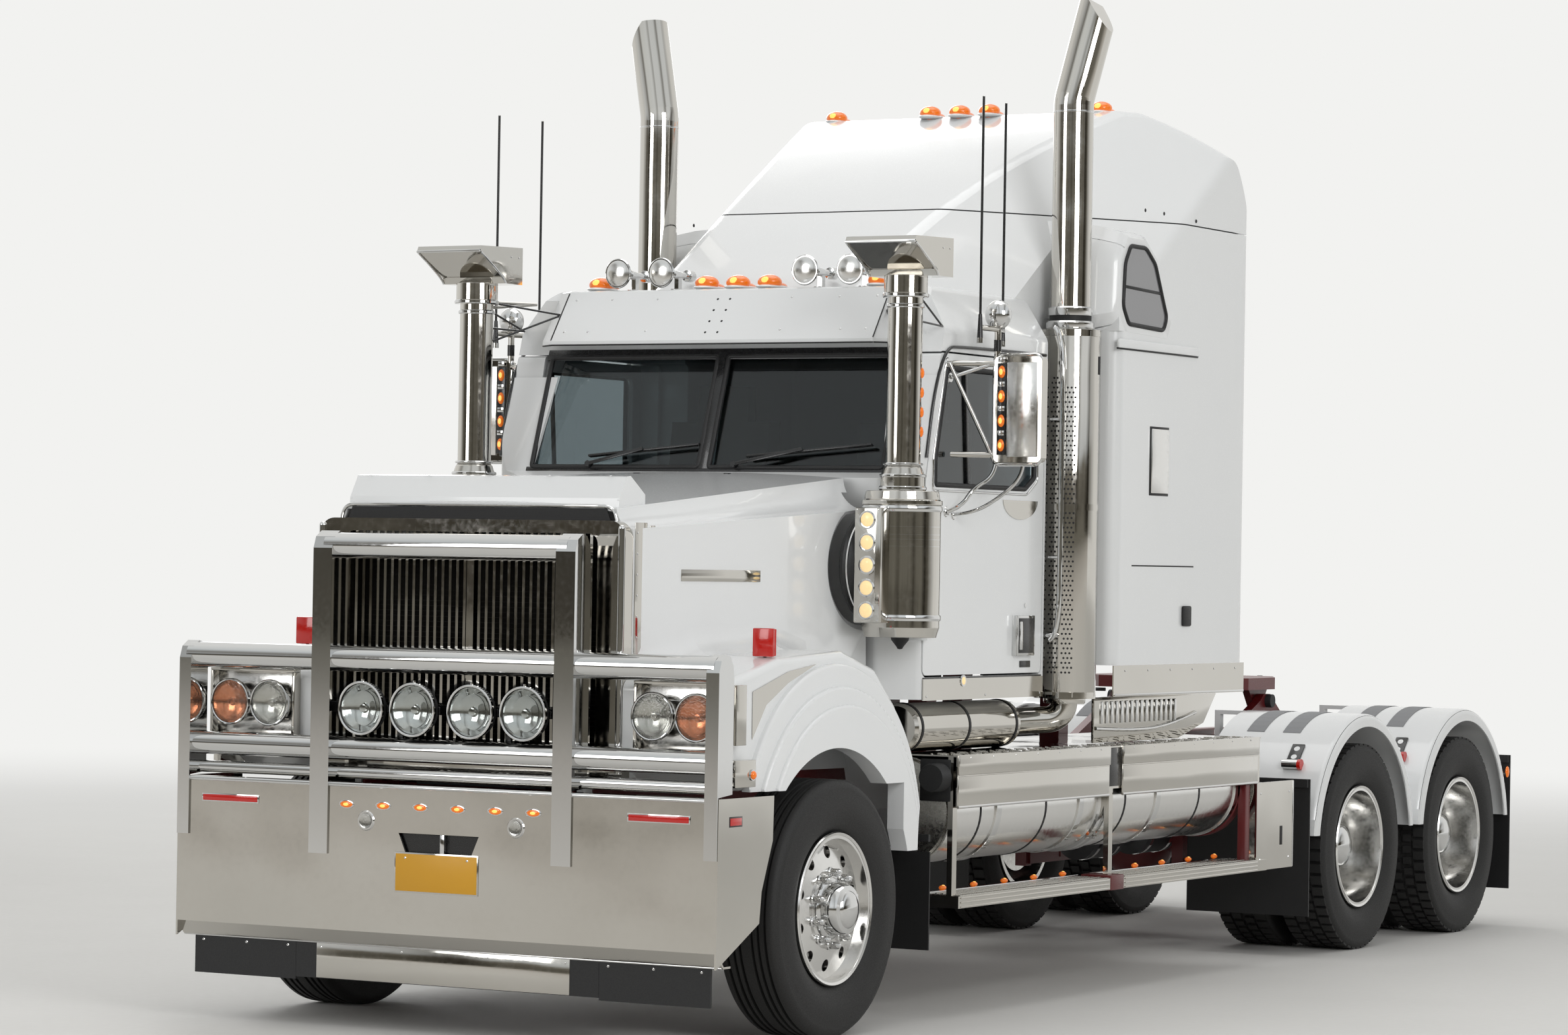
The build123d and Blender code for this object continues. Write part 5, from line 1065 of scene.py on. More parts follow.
class TRUCK_OT_air_cleaners(PieceOperator, bpy.types.Operator):
    """Bands, lamp plate, duct ring, drain and hood trim of the air cleaners, and the stays to the visor"""

    bl_idname = "truck.air_cleaners"
    bl_label = "Air cleaners"

    def execute(self, context):
        cans = Group("air_cleaner_trim", "chassis")
        chrome, steel, rubber = cans["bright_chrome"], cans["polished_stainless"], cans["moulded_rubber"]
        for z in (1.628, 2.072):
            add_turned(chrome, ((z, 0.150), (z, 0.164), (z + 0.006, 0.1665), (z + 0.018, 0.1665),
                                (z + 0.024, 0.164), (z + 0.024, 0.150), (z, 0.150)), CLEANER, UP, 48)
            add_slab(chrome, (1.020, 0.646, z + 0.002), (1.070, 0.662, z + 0.022), 3 * MM)
        # collars at the snorkel's base, middle and head
        for low, high, radius in COLLARS:
            add_turned(chrome, ((low, 0.060), (low, radius), (low + 4 * MM, radius + 3 * MM),
                                (high - 4 * MM, radius + 3 * MM), (high, radius), (high, 0.060),
                                (low, 0.060)), CLEANER, UP, 40)
        # front plate with five warm lamps in rims
        add_slab(steel, (0.946, LAMP_PLATE_Y, 1.618), (1.067, 0.680, 2.086), 5 * MM)
        for k in range(CLEANER_LAMPS):
            spot = Vector((1.005, LAMP_PLATE_Y, CLEANER_LAMP_FOOT + k * CLEANER_LAMP_PITCH))
            add_turned(chrome, ((1 * MM, 0.0), (-4 * MM, 0.033), (-1 * MM, 0.038), (2 * MM, 0.038),
                                (2 * MM, 0.0)), spot, BACK, 24)
            add_ball(cans["warm_glow"], spot, (0.031, 0.011, 0.031), 24, 12)
        for x in (0.957, 1.055):
            for z in (1.628, 2.076):
                add_rivet(chrome, (x, LAMP_PLATE_Y, z), FRONT, 4 * MM)
        # pressed lines across the can's outer face
        for z in (1.930, 1.958, 1.978, 2.010):
            add_band(chrome, z, z + 2.5 * MM, 0.158, 0.1607, CLEANER, UP, 48)
        # rubber ring of the duct with its clamp
        add_turned(rubber, ((0.880, 0.150), (0.880, 0.204), (0.888, 0.214), (0.902, 0.217), (0.912, 0.209),
                            (0.924, 0.209), (0.934, 0.202), (0.944, 0.198), (0.944, 0.150), (0.880, 0.150)),
                   DUCT, OUT, 56)
        add_band(chrome, 0.914, 0.921, 0.205, 0.2125, DUCT, OUT, 56)
        # dust valve under the can
        add_turned(rubber, ((1.566, 0.0), (1.566, 0.040), (1.548, 0.036), (1.520, 0.014), (1.512, 0.010),
                            (1.510, 0.0)), CLEANER, UP, 20)
        # rain hood: rolled rims and rivets
        add_pipe(chrome, ((0.885, 0.592, 3.163), (1.205, 0.592, 3.163)), 6 * MM, order=2)
        for x in (0.886, 1.204):
            add_pipe(chrome, ((x, 0.600, 3.158), (x, 0.790, 3.062), (x, 0.800, 3.036)), 5 * MM)
        for x in (0.884, 1.206):
            for y in (0.84, 0.90):
                add_rivet(chrome, (x, y, 3.150), OUT if x > 1 else -OUT, 4 * MM)
        # thin stays in pairs from the snorkel to the visor and roof: upper end, foot on the cab, lower end
        for upper, foot, lower in (((0.985, 0.860, 2.955), (0.800, 1.118, 2.915), (0.990, 0.862, 2.790)),
                                   ((1.080, 0.880, 2.955), (1.030, 1.180, 2.850), (1.080, 0.880, 2.855))):
            for start, end in ((upper, foot), (foot, lower)):
                add_rod(cans["black_gloss_and_painted_shade"], start, end, 4.5 * MM, 10)
        # small amber lamps down the pipe's outer side
        for k in range(PIPE_LAMPS):
            z = 2.400 + k * 0.080
            add_ball(cans["amber_acrylic"], (1.112, 0.846, z), (0.010, 0.013, 0.022), 12, 8)
        cans.mirror()
        cans.done()
        return {"FINISHED"}


# the near stack's axis, and the folded guard round its muffler
STACK = Vector((1.057, 2.345, 0.0))
GUARD_RADIUS = 0.135
GUARD_LOW, GUARD_HIGH = 1.292, 2.890
GUARD_FLATS = 7
GUARD_FROM, GUARD_STEP = -158, 27   # degrees
# holes in the guard: top of the rows on each flat that has them, foot, pitches and radius
HOLE_TOPS = (2.62, 2.68, 2.72, 2.66)
HOLE_FOOT = 1.40
HOLE_ROW_PITCH = 21 * MM
HOLE_PITCH = 17 * MM
HOLE_RADIUS = 5.2 * MM


class TRUCK_OT_stacks(PieceOperator, bpy.types.Operator):
    """Muffler guards with holes of painted shade, clamps and welds of the exhaust stacks"""

    bl_idname = "truck.stacks"
    bl_label = "Stacks"

    def execute(self, context):
        stacks = Group("stack_trim", "chassis")
        chrome, steel, dark = stacks["bright_chrome"], stacks["polished_stainless"], stacks["radiator_black_and_painted_shade"]
        # folded guard: flats from the inner front round to the outer rear
        corners = [Vector((STACK.x + GUARD_RADIUS * math.cos(a), STACK.y + GUARD_RADIUS * math.sin(a), 0.0))
                   for a in [math.radians(GUARD_FROM + k * GUARD_STEP) for k in range(GUARD_FLATS + 1)]]
        flats = list(zip(corners, corners[1:]))
        for near, far in flats:
            middle = (near + far) / 2
            out = (middle - STACK).normalized()
            add_beam(steel, middle + UP * GUARD_LOW, middle + UP * GUARD_HIGH, (far - near).length + 1 * MM,
                     3 * MM, out, 0.8 * MM)
        # staggered rows of holes on the flats that face forwards: dark discs of painted shade
        for (near, far), top in zip(flats, HOLE_TOPS):
            along = (far - near).normalized()
            middle = (near + far) / 2
            out = (middle - STACK).normalized()
            for row in range(int((top - HOLE_FOOT) / HOLE_ROW_PITCH)):
                for column in (-1, 0, 1):
                    shift = (column + 0.5 * (row % 2)) * HOLE_PITCH
                    spot = middle + along * shift + UP * (HOLE_FOOT + row * HOLE_ROW_PITCH) + out * 1.2 * MM
                    add_rod(dark, spot, spot + out * 0.9 * MM, HOLE_RADIUS, 6)
        for z in (1.300, 2.120, 2.880):
            add_band(steel, z - 0.014, z + 0.014, 0.120, 0.1365, STACK, UP, 40)
        # slot window in the plain flat, a dark slab of painted shade; clamp over the muffler, gasket at the
        # pipe's foot
        add_slab(dark, (1.1885, 2.350, 2.700), (1.1935, 2.372, 2.780), 1.5 * MM)
        add_turned(chrome, ((2.895, 0.050), (2.895, 0.104), (2.903, 0.108), (2.925, 0.108), (2.933, 0.102),
                            (2.933, 0.050), (2.895, 0.050)), STACK, UP, 40)
        add_band(dark, 2.933, 2.958, 0.050, 0.092, STACK, UP, 40)
        add_turned(chrome, ((2.958, 0.050), (2.958, 0.096), (2.966, 0.098), (2.990, 0.098), (2.996, 0.092),
                            (2.996, 0.050), (2.958, 0.050)), STACK, UP, 40)
        # weld bead at the pipe's bend and the elbow's flange
        add_turned(chrome, ((3.846, 0.080), (3.846, 0.0895), (3.850, 0.0905), (3.854, 0.0895), (3.854, 0.080),
                            (3.846, 0.080)), STACK, UP, 40)
        add_turned(steel, ((1.262, 0.040), (1.262, 0.088), (1.270, 0.092), (1.284, 0.092), (1.290, 0.088),
                           (1.290, 0.040), (1.262, 0.040)), STACK, UP, 32)
        # step handle by the guard
        add_pipe(chrome, ((0.940, 2.190, 1.560), (1.060, 2.175, 1.560), (1.080, 2.200, 1.560),
                          (1.080, 2.215, 1.560)), 11 * MM)
        stacks.mirror()
        stacks.done()
        return {"FINISHED"}


# the mirror head's tube frame, as (x, z), the lamps down its front, and the feet of the arms and aerials
MIRROR_Y = 1.345
MIRROR_FRAME = ((1.196, 2.282), (1.409, 2.282), (1.409, 2.736), (1.196, 2.736))
MIRROR_LAMPS = 4
MIRROR_LAMP_FOOT = 2.360
MIRROR_LAMP_PITCH = 0.102
ARM_FEET = ((1.220, 2.080), (1.290, 2.070), (1.215, 2.700), (1.235, 2.640))
AERIALS = ((1.194, 1.203), (1.153, 1.492))


class TRUCK_OT_mirrors(PieceOperator, bpy.types.Operator):
    """Mirror glass, frames, lamps, spot mirrors, arms and whip aerials on both doors"""

    bl_idname = "truck.mirrors"
    bl_label = "Mirrors"

    def execute(self, context):
        for name, side in SIDES:
            head = Group(f"mirror_trim_{name}", f"door_{name}_body")
            chrome, black = head["bright_chrome"], head["black_gloss_and_painted_shade"]
            # tube frame round the head
            loop = [(x, MIRROR_Y, z) for x, z in MIRROR_FRAME]
            add_seal(chrome, outline_with_corners(loop, 0.055), 10 * MM)
            # glass with its black rim, facing back
            add_slab(black, (1.212, 1.384, 2.302), (1.408, 1.389, 2.718), 2 * MM)
            add_slab(head["mirror_glass"], (1.222, 1.387, 2.312), (1.398, 1.3915, 2.708), 1.5 * MM)
            # lit amber lamps in a dark channel by the frame
            add_slab(black, (1.218, 1.322, 2.320), (1.258, 1.332, 2.702), 2 * MM)
            for k in range(MIRROR_LAMPS):
                z = MIRROR_LAMP_FOOT + k * MIRROR_LAMP_PITCH
                add_ball(head["amber_acrylic"], (1.238, 1.322, z), (0.016, 0.010, 0.026), 16, 10)
                add_ball(head["amber_glow"], (1.238, 1.316, z), (0.009, 0.007, 0.014), 12, 8)
                add_slab(chrome, (1.222, 1.318, z + 0.040), (1.254, 1.324, z + 0.062), 2 * MM)
            add_slab(head["buffed_aluminium"], (1.262, 1.3225, 2.312), (1.402, 1.331, 2.706), 3 * MM)
            # round spot mirror on its stem over the frame
            add_rod(chrome, (1.205, 1.347, 2.730), (1.205, 1.347, 2.840), 9 * MM)
            add_ball(chrome, (1.205, 1.347, 2.905), (0.058, 0.048, 0.062), 28, 18)
            add_rod(black, (1.205, 1.346, 2.752), (1.205, 1.346, 2.800), 16 * MM, 16)
            # arms to the door: two slanted stays and the curved lower arms
            add_rod(chrome, (1.046, 1.215, 2.700), (1.200, 1.345, 2.290), 9 * MM)
            add_rod(chrome, (1.046, 1.235, 2.640), (1.200, 1.345, 2.705), 8 * MM)
            add_pipe(chrome, ((1.205, 1.347, 2.290), (1.200, 1.340, 2.230), (1.130, 1.290, 2.180),
                              (1.100, 1.240, 2.100), (1.045, 1.220, 2.080)), 9 * MM)
            add_pipe(chrome, ((1.330, 1.350, 2.285), (1.325, 1.350, 2.220), (1.200, 1.330, 2.120),
                              (1.110, 1.300, 2.075), (1.045, 1.290, 2.070)), 8 * MM)
            for y, z in ARM_FEET:
                add_turned(chrome, ((1.039, 0.0), (1.039, 0.024), (1.046, 0.020), (1.046, 0.0)), (0, y, z),
                           OUT, 16)
            # aerials: chrome foot, tapered sleeve and whip
            for x, y in AERIALS:
                add_rod(black, (x, y, 2.800), (x, y, 2.900), 13 * MM, 14, tip=8 * MM)
                add_rod(chrome, (x, y, 2.780), (x, y, 2.802), 15 * MM, 14)
                add_rod(black, (x, y, 2.890), (x, y, 3.804), 5.6 * MM, 10)
            if side < 0:
                head.mirror(keep=False)
            head.done()
        return {"FINISHED"}


# ---- sleeper
SLEEPER_X = 1.220
SLEEPER_BACK = 3.920
# a port window's outline, as (y, z)
PORT = ((2.590, 2.935), (2.530, 3.010), (2.545, 3.200), (2.600, 3.280), (2.760, 3.280), (2.860, 3.215),
        (2.990, 2.985), (2.960, 2.925))
# the raised bay round a port window: place outwards, and share of the window's outline
BAY = ((0.780, 1.66), (0.960, 1.60), (1.120, 1.46), (1.190, 1.34), (1.212, 1.27), (1.2205, 1.20))
# the round cover's axis under the cab, and the ribbed cover's outline under the sleeper, as (y, z)
HOSE_COVER = (0.905, 0.0, 1.180)
RIBBED_COVER = ((2.520, 1.086), (3.420, 1.086), (3.700, 1.150), (3.840, 1.286), (2.520, 1.286))
RIBS_ON_COVER = 16
# the rear wall's window, as (x, z), and the work lamp over it
REAR_WINDOW = ((-0.38, 2.80), (0.38, 2.80), (0.38, 3.20), (-0.38, 3.20))
WORK_LAMP_X, WORK_LAMP_Z = 0.62, 3.12
# the bar of trailer couplings: height, and each coupling's place and finish
COUPLING_Z = 1.52
COUPLINGS = ((-0.16, "red_acrylic"), (0.0, "black_gloss_and_painted_shade"), (0.16, "amber_acrylic"))


def add_bay(bm, outline, levels):
    """A shallow bay whose rings are an outline drawn at several sizes about its middle."""
    middle = sum(outline, Vector()) / len(outline)
    rings = []
    for x, share in levels:
        ring = [bm.verts.new(middle + (point - middle) * share) for point in outline]
        for vert in ring:
            vert.co.x = x
        rings.append(ring)
    faces = [bm.faces.new(rings[-1]), bm.faces.new(rings[0][::-1])]
    for near, far in zip(rings, rings[1:]):
        for k in range(len(outline)):
            faces.append(bm.faces.new((near[k - 1], near[k], far[k], far[k - 1])))
    bmesh.ops.recalc_face_normals(bm, faces=faces)


class TRUCK_OT_sleeper(PieceOperator, bpy.types.Operator):
    """Port windows, ledges, vents, rivets and seams of the sleeper's sides and back"""

    bl_idname = "truck.sleeper"
    bl_label = "Sleeper"

    def execute(self, context):
        radius = context.scene.truck_sizes.rivet_radius
        box = Group("sleeper_trim", "chassis")
        rubber, chrome, paint = box["moulded_rubber"], box["bright_chrome"], box["body_enamel"]
        x, back = SLEEPER_X, SLEEPER_BACK
        # port window: bay, seal, pane and its divider
        port = [Vector((x, y, z)) for y, z in PORT]
        add_bay(paint, outline_with_corners(port, 0.05), BAY)
        add_seal(rubber, outline_with_corners([point + OUT * 2 * MM for point in port], 0.05), 10 * MM)
        add_bay(box["privacy_glass"], outline_with_corners(port, 0.05),
                ((x - 6 * MM, 0.99), (x + 3 * MM, 0.98)))
        add_beam(rubber, (x + 3 * MM, 2.536, 3.098), (x + 3 * MM, 2.925, 3.088), 13 * MM, 8 * MM, OUT, 2 * MM)
        # drip ledge under the window: white with a dark lower edge
        add_beam(paint, (x + 6 * MM, 2.480, 2.846), (x + 6 * MM, 3.338, 2.846), 0.040, 14 * MM, OUT, 5 * MM)
        add_beam(rubber, (x + 2 * MM, 2.480, 2.823), (x + 2 * MM, 3.338, 2.823), 7 * MM, 8 * MM, OUT, 1 * MM)
        # upright vent cover, groove and round-cornered lamp
        add_slab(rubber, (x - 1 * MM, 2.838, 2.184), (x + 2 * MM, 3.040, 2.492), 1 * MM)
        add_slab(box["buffed_aluminium"], (x + 1 * MM, 2.848, 2.194), (x + 10 * MM, 3.030, 2.482), 4 * MM)
        add_beam(rubber, (x, 2.668, 1.870), (x, 3.330, 1.870), 6 * MM, 3 * MM, OUT)
        add_slab(rubber, (x, 3.205, 1.600), (x + 14 * MM, 3.295, 1.692), 8 * MM)
        for y, z in ((2.75, 3.448), (2.95, 3.448), (3.30, 3.440)):
            add_rivet(rubber, (x + 1 * MM, y, z), OUT, radius * 1.3)
        # polished cover over the hoses under the cab, ribbed cover under the sleeper
        add_turned(box["polished_stainless"], ((1.060, 0.0), (1.060, 0.090), (1.075, 0.102), (2.020, 0.102),
                                               (2.035, 0.090), (2.035, 0.0)), HOSE_COVER, BACK, 48)
        for y in (1.110, 1.540, 1.985):
            add_band(rubber, y - 8 * MM, y + 8 * MM, 0.09, 0.1045, HOSE_COVER, BACK, 48)
        add_plate(box["polished_stainless"], [(1.105, y, z) for y, z in RIBBED_COVER], 14 * MM, 3 * MM)
        for k in range(RIBS_ON_COVER):
            y = 2.580 + k * 0.052
            add_slab(chrome, (1.119, y, 1.170), (1.126, y + 0.020, 1.268), 2 * MM)
        add_pipe(chrome, ((1.120, 2.530, 1.150), (1.124, 2.900, 1.132), (1.124, 3.300, 1.146),
                          (1.120, 3.600, 1.200)), 9 * MM)
        # polished skirt: its seam and fixings
        add_beam(chrome, (x + 1 * MM, 2.510, 1.300), (x + 1 * MM, 3.915, 1.300), 10 * MM, 6 * MM, OUT, 2 * MM)
        for k in range(6):
            add_rivet(chrome, (x + 1 * MM, 2.62 + k * 0.24, 1.405), OUT, 5 * MM)
        # grab handle behind the sleeper, on two round feet
        add_pipe(chrome, ((1.130, 3.922, 2.400), (1.130, 3.975, 2.390), (1.130, 3.975, 2.100),
                          (1.130, 3.975, 1.750), (1.130, 3.922, 1.740)), 13 * MM)
        for z in (2.400, 1.740):
            add_turned(chrome, ((0.0, 0.0), (0.0, 0.026), (6 * MM, 0.024), (6 * MM, 0.0)), (1.130, back, z),
                       BACK, 20)
        # pressed ribs and rivets of the rear wall
        for across in (0.34, 0.64, 0.94):
            add_beam(paint, (across, back + 1 * MM, 1.62), (across, back + 1 * MM, 2.62), 0.060, 14 * MM,
                     BACK, 6 * MM)
        for across in (0.10, 0.60, 1.05):
            for z in (3.30, 1.50):
                add_rivet(chrome, (across, back, z), BACK, radius)
        box.mirror()
        # rear window, work lamp on its stem, and the sealed seam under the raised roof
        opening = [(across, back - 1 * MM, z) for across, z in REAR_WINDOW]
        add_seal(rubber, outline_with_corners(opening, 0.06), 14 * MM)
        add_slab(box["privacy_glass"], (-0.37, back - 2 * MM, 2.81), (0.37, back + 4 * MM, 3.19), 3 * MM)
        gloss = box["black_gloss_and_painted_shade"]
        lamp = Vector((WORK_LAMP_X, back, WORK_LAMP_Z))
        add_lamp(box, lamp + BACK * 0.085, BACK, 0.062, 0.06, "fluted_glass", bowl="black_gloss_and_painted_shade", steps=24)
        add_rod(gloss, lamp + BACK * 0.03, lamp - BACK * 2 * MM, 14 * MM)
        add_beam(rubber, (-1.155, back - 9 * MM, 3.417), (1.155, back - 9 * MM, 3.417), 5 * MM, 6 * MM, BACK)
        # couplings for the trailer's air and electric lines, on a bar across the back; their red and amber
        # caps carry a painted glow
        add_rod(gloss, (-0.42, back + 0.06, COUPLING_Z), (0.42, back + 0.06, COUPLING_Z), 16 * MM)
        for across in (-0.40, 0.40):
            add_rod(gloss, (across, back - 2 * MM, COUPLING_Z), (across, back + 0.06, COUPLING_Z), 14 * MM)
        for across, finish in COUPLINGS:
            spot = (across, back + 0.066, COUPLING_Z)
            add_turned(chrome, ((0.0, 0.0), (0.0, 0.032), (0.020, 0.032), (0.024, 0.022), (0.050, 0.022),
                                (0.054, 0.0)), spot, BACK, 20)
            add_turned(box[finish], ((0.050, 0.0), (0.050, 0.034), (0.062, 0.034), (0.066, 0.020),
                                     (0.066, 0.0)), spot, BACK, 20)
        box.done()
        return {"FINISHED"}


# ---- sides: tanks, fairings, steps
SIDE_X = 1.222
# the near tanks' axis; rubber lines, bright straps and the twin straps between them, along the truck
TANK = Vector((0.940, 0.0, 0.840))
RUBBER_LINES = (1.340, 1.960, 2.760, 3.560)
TANK_STRAPS = (1.500, 2.300, 3.100, 3.980)
TWIN_STRAPS = (2.500, 2.570)
TANK_ENDS = ((1.060, -1), (4.080, 1))
# each half's start and end along the truck
FAIRING_HALVES = ((1.012, 2.468), (2.602, 4.098))
STEP_HALVES = ((1.030, 2.455), (2.620, 4.080))
DECK_Z = 1.0765
DECK_ROWS, DECK_BARS = 5, 34
DECK_PITCH = 90 * MM
TREAD_LEAN = 12 * MM
HOSE_RINGS = 5
HOSE_RING_PITCH = 16 * MM


class TRUCK_OT_sides(PieceOperator, bpy.types.Operator):
    """Tank bands and caps, fairing rolls, treads, step lamps and end plates on both sides"""

    bl_idname = "truck.sides"
    bl_label = "Tanks and steps"

    def execute(self, context):
        sides = Group("side_trim", "chassis")
        steel, chrome, rubber = sides["polished_stainless"], sides["bright_chrome"], sides["moulded_rubber"]
        brushed, red = sides["brushed_aluminium"], sides["chassis_enamel"]
        # tanks: thin rubber lines, bright straps and rolled end rims
        for y in RUBBER_LINES:
            add_band(rubber, y - 5 * MM, y + 5 * MM, 0.210, 0.2275, TANK, BACK, 56)
        for y in TANK_STRAPS:
            add_turned(chrome, ((y - 24 * MM, 0.2298), (y - 22 * MM, 0.2322), (y + 22 * MM, 0.2322),
                                (y + 24 * MM, 0.2298), (y - 24 * MM, 0.2298)), TANK, BACK, 56)
        for y, way in TANK_ENDS:
            add_turned(brushed, ((0.0, 0.0), (0.0, 0.223), (-6 * MM, 0.228), (10 * MM, 0.214),
                                 (26 * MM, 0.14), (32 * MM, 0.0)), (TANK.x, y, TANK.z), BACK * way, 48)
        # twin straps where the halves of the fairing meet
        for y in TWIN_STRAPS:
            add_turned(chrome, ((y - 20 * MM, 0.222), (y - 16 * MM, 0.2375), (y + 16 * MM, 0.2375),
                                (y + 20 * MM, 0.222), (y - 20 * MM, 0.222)), TANK, BACK, 56)
        # fairing boxes: rolled upper edge, stepped face and lower return
        for low, high in FAIRING_HALVES:
            add_slab(steel, (SIDE_X - 4 * MM, low, 0.995), (SIDE_X + 9 * MM, high, 1.079), 5 * MM)
            add_slab(steel, (SIDE_X - 4 * MM, low + 4 * MM, 0.866), (SIDE_X + 3 * MM, high - 4 * MM, 0.990),
                     3 * MM)
            add_pipe(chrome, ((SIDE_X, low + 4 * MM, 0.864), (SIDE_X, high - 4 * MM, 0.864)), 6 * MM, order=2)
            for k in range(7):
                y = low + 0.10 + k * (high - low - 0.20) / 6
                add_rivet(chrome, (SIDE_X + 9 * MM, y, 1.066), OUT, 4 * MM)
        # a black slab in the gap between the fairing halves: painted shade
        add_slab(sides["black_gloss_and_painted_shade"], (SIDE_X - 12 * MM, 2.470, 0.900), (SIDE_X - 6 * MM, 2.600, 1.074),
                 2 * MM)
        # deck: staggered rows of raised tread bars that lean both ways
        for row in range(DECK_ROWS):
            for k in range(DECK_BARS):
                y = 1.06 + (k + 0.5 * (row % 2)) * DECK_PITCH
                x = 1.075 + row * 0.032
                lean = TREAD_LEAN if (k + row) % 2 else -TREAD_LEAN
                add_beam(brushed, (x - lean, y - 0.018, DECK_Z + 0.001),
                         (x + lean, y + 0.018, DECK_Z + 0.001), 7 * MM, 3.5 * MM)
        # step rails: bright top lips, grooved face, and small amber lamps on the inner ledge
        count = context.scene.truck_sizes.step_lamps
        for low, high in STEP_HALVES:
            add_slab(brushed, (1.086, low, 0.4985), (1.234, high, 0.5035), 1.5 * MM)
            for x in (1.110, 1.140, 1.170, 1.200):
                add_slab(brushed, (x - 4 * MM, low + 0.02, 0.503), (x + 4 * MM, high - 0.02, 0.507), 1.5 * MM)
            for z in (0.456, 0.474, 0.492):
                add_slab(steel, (1.2345, low, z - 4 * MM), (1.2385, high, z + 4 * MM), 1.5 * MM)
            for k in range(count):
                y = low + (k + 0.5) * (high - low) / count
                add_ball(sides["amber_acrylic"], (1.078, y, 0.520), (0.015, 0.022, 0.011), 16, 8)
                add_ball(sides["amber_glow"], (1.080, y, 0.526), (0.008, 0.012, 0.006), 12, 6)
            add_slab(chrome, (1.060, low, 0.500), (1.086, high, 0.510), 2 * MM)
        add_slab(red, (1.090, 2.470, 0.446), (1.2375, 2.605, 0.512), 4 * MM)
        # red strap round the tank's tail
        add_band(red, 4.000, 4.055, 0.218, 0.236, TANK, BACK, 56)
        add_slab(red, (1.165, 4.000, 0.500), (1.205, 4.055, 0.862), 4 * MM)
        # end plate: slot, a dark slab of painted shade; rolled edge and the tail's bolts
        add_slab(sides["radiator_black_and_painted_shade"], (SIDE_X - 2 * MM, 4.372, 0.560), (SIDE_X + 1.5 * MM, 4.402, 0.650),
                 1.4 * MM)
        add_slab(chrome, (SIDE_X - 10 * MM, 4.522, 0.452), (SIDE_X + 2 * MM, 4.532, 0.860), 2 * MM)
        for z in (0.50, 0.81):
            for y in (4.14, 4.48):
                add_rivet(chrome, (SIDE_X, y, z), OUT, 6 * MM)
        # ribbed intake hose and valve box at the front of the deck
        add_slab(rubber, (1.045, 1.0125, 0.885), (1.190, 1.030, 1.060), 6 * MM)
        for k in range(HOSE_RINGS):
            add_turned(rubber, ((0.930, 0.0), (0.930, 0.054), (0.938, 0.060), (0.944, 0.052), (0.944, 0.0)),
                       (1.140, k * HOSE_RING_PITCH, 0.985), BACK, 24)
        sides.mirror()
        sides.done()
        return {"FINISHED"}


# ---- tail: mudguards, frame and fifth wheel
DRIVE_Y = (5.400, 6.756)
GUARD = 0.655
# the grip strips' places across, and how strips follow a guard's hoop: start, length of a piece, pieces
GRIP_X = (0.792, 0.983)
GRIP_PIECES = 9
GRIP_FROM = math.radians(78)
GRIP_STEP = math.radians(43) / GRIP_PIECES
HEM_FROM = math.radians(166.3)
HEM_STEP = 0.058
BEAD_FROM, BEAD_STEP, BEAD_POINTS = 8, 16.4, 11
# the guard's front slope, and the way up along it
GUARD_SLOPE = Vector((0, -1, 1)).normalized()
GUARD_RISE = Vector((0, 1, 1)).normalized()
# flange bolts of the frame
BOLTS = 22
BOLT_START = 4.10
BOLT_PITCH = 0.145
AIR_TANKS_Y = (4.300, 4.900)
# tread plate between the rails: columns, rows and their pitches
PLATE_COLUMNS, PLATE_ROWS = 15, 12
PLATE_PITCH_X, PLATE_PITCH_Y = 55 * MM, 56 * MM


def add_hoop_strip(bm, y, x, width, angle, sweep, depth):
    """One flat piece of a strip that follows a guard's hoop, over a sweep that starts at an angle."""
    reach = GUARD + depth / 3
    ends = (angle, angle + sweep)
    near, far = [Vector((x, y + reach * math.cos(a), AXLE_Z + reach * math.sin(a))) for a in ends]
    out = Vector((0.0, math.cos(angle + sweep / 2), math.sin(angle + sweep / 2)))
    add_beam(bm, near, far, width, depth, out)


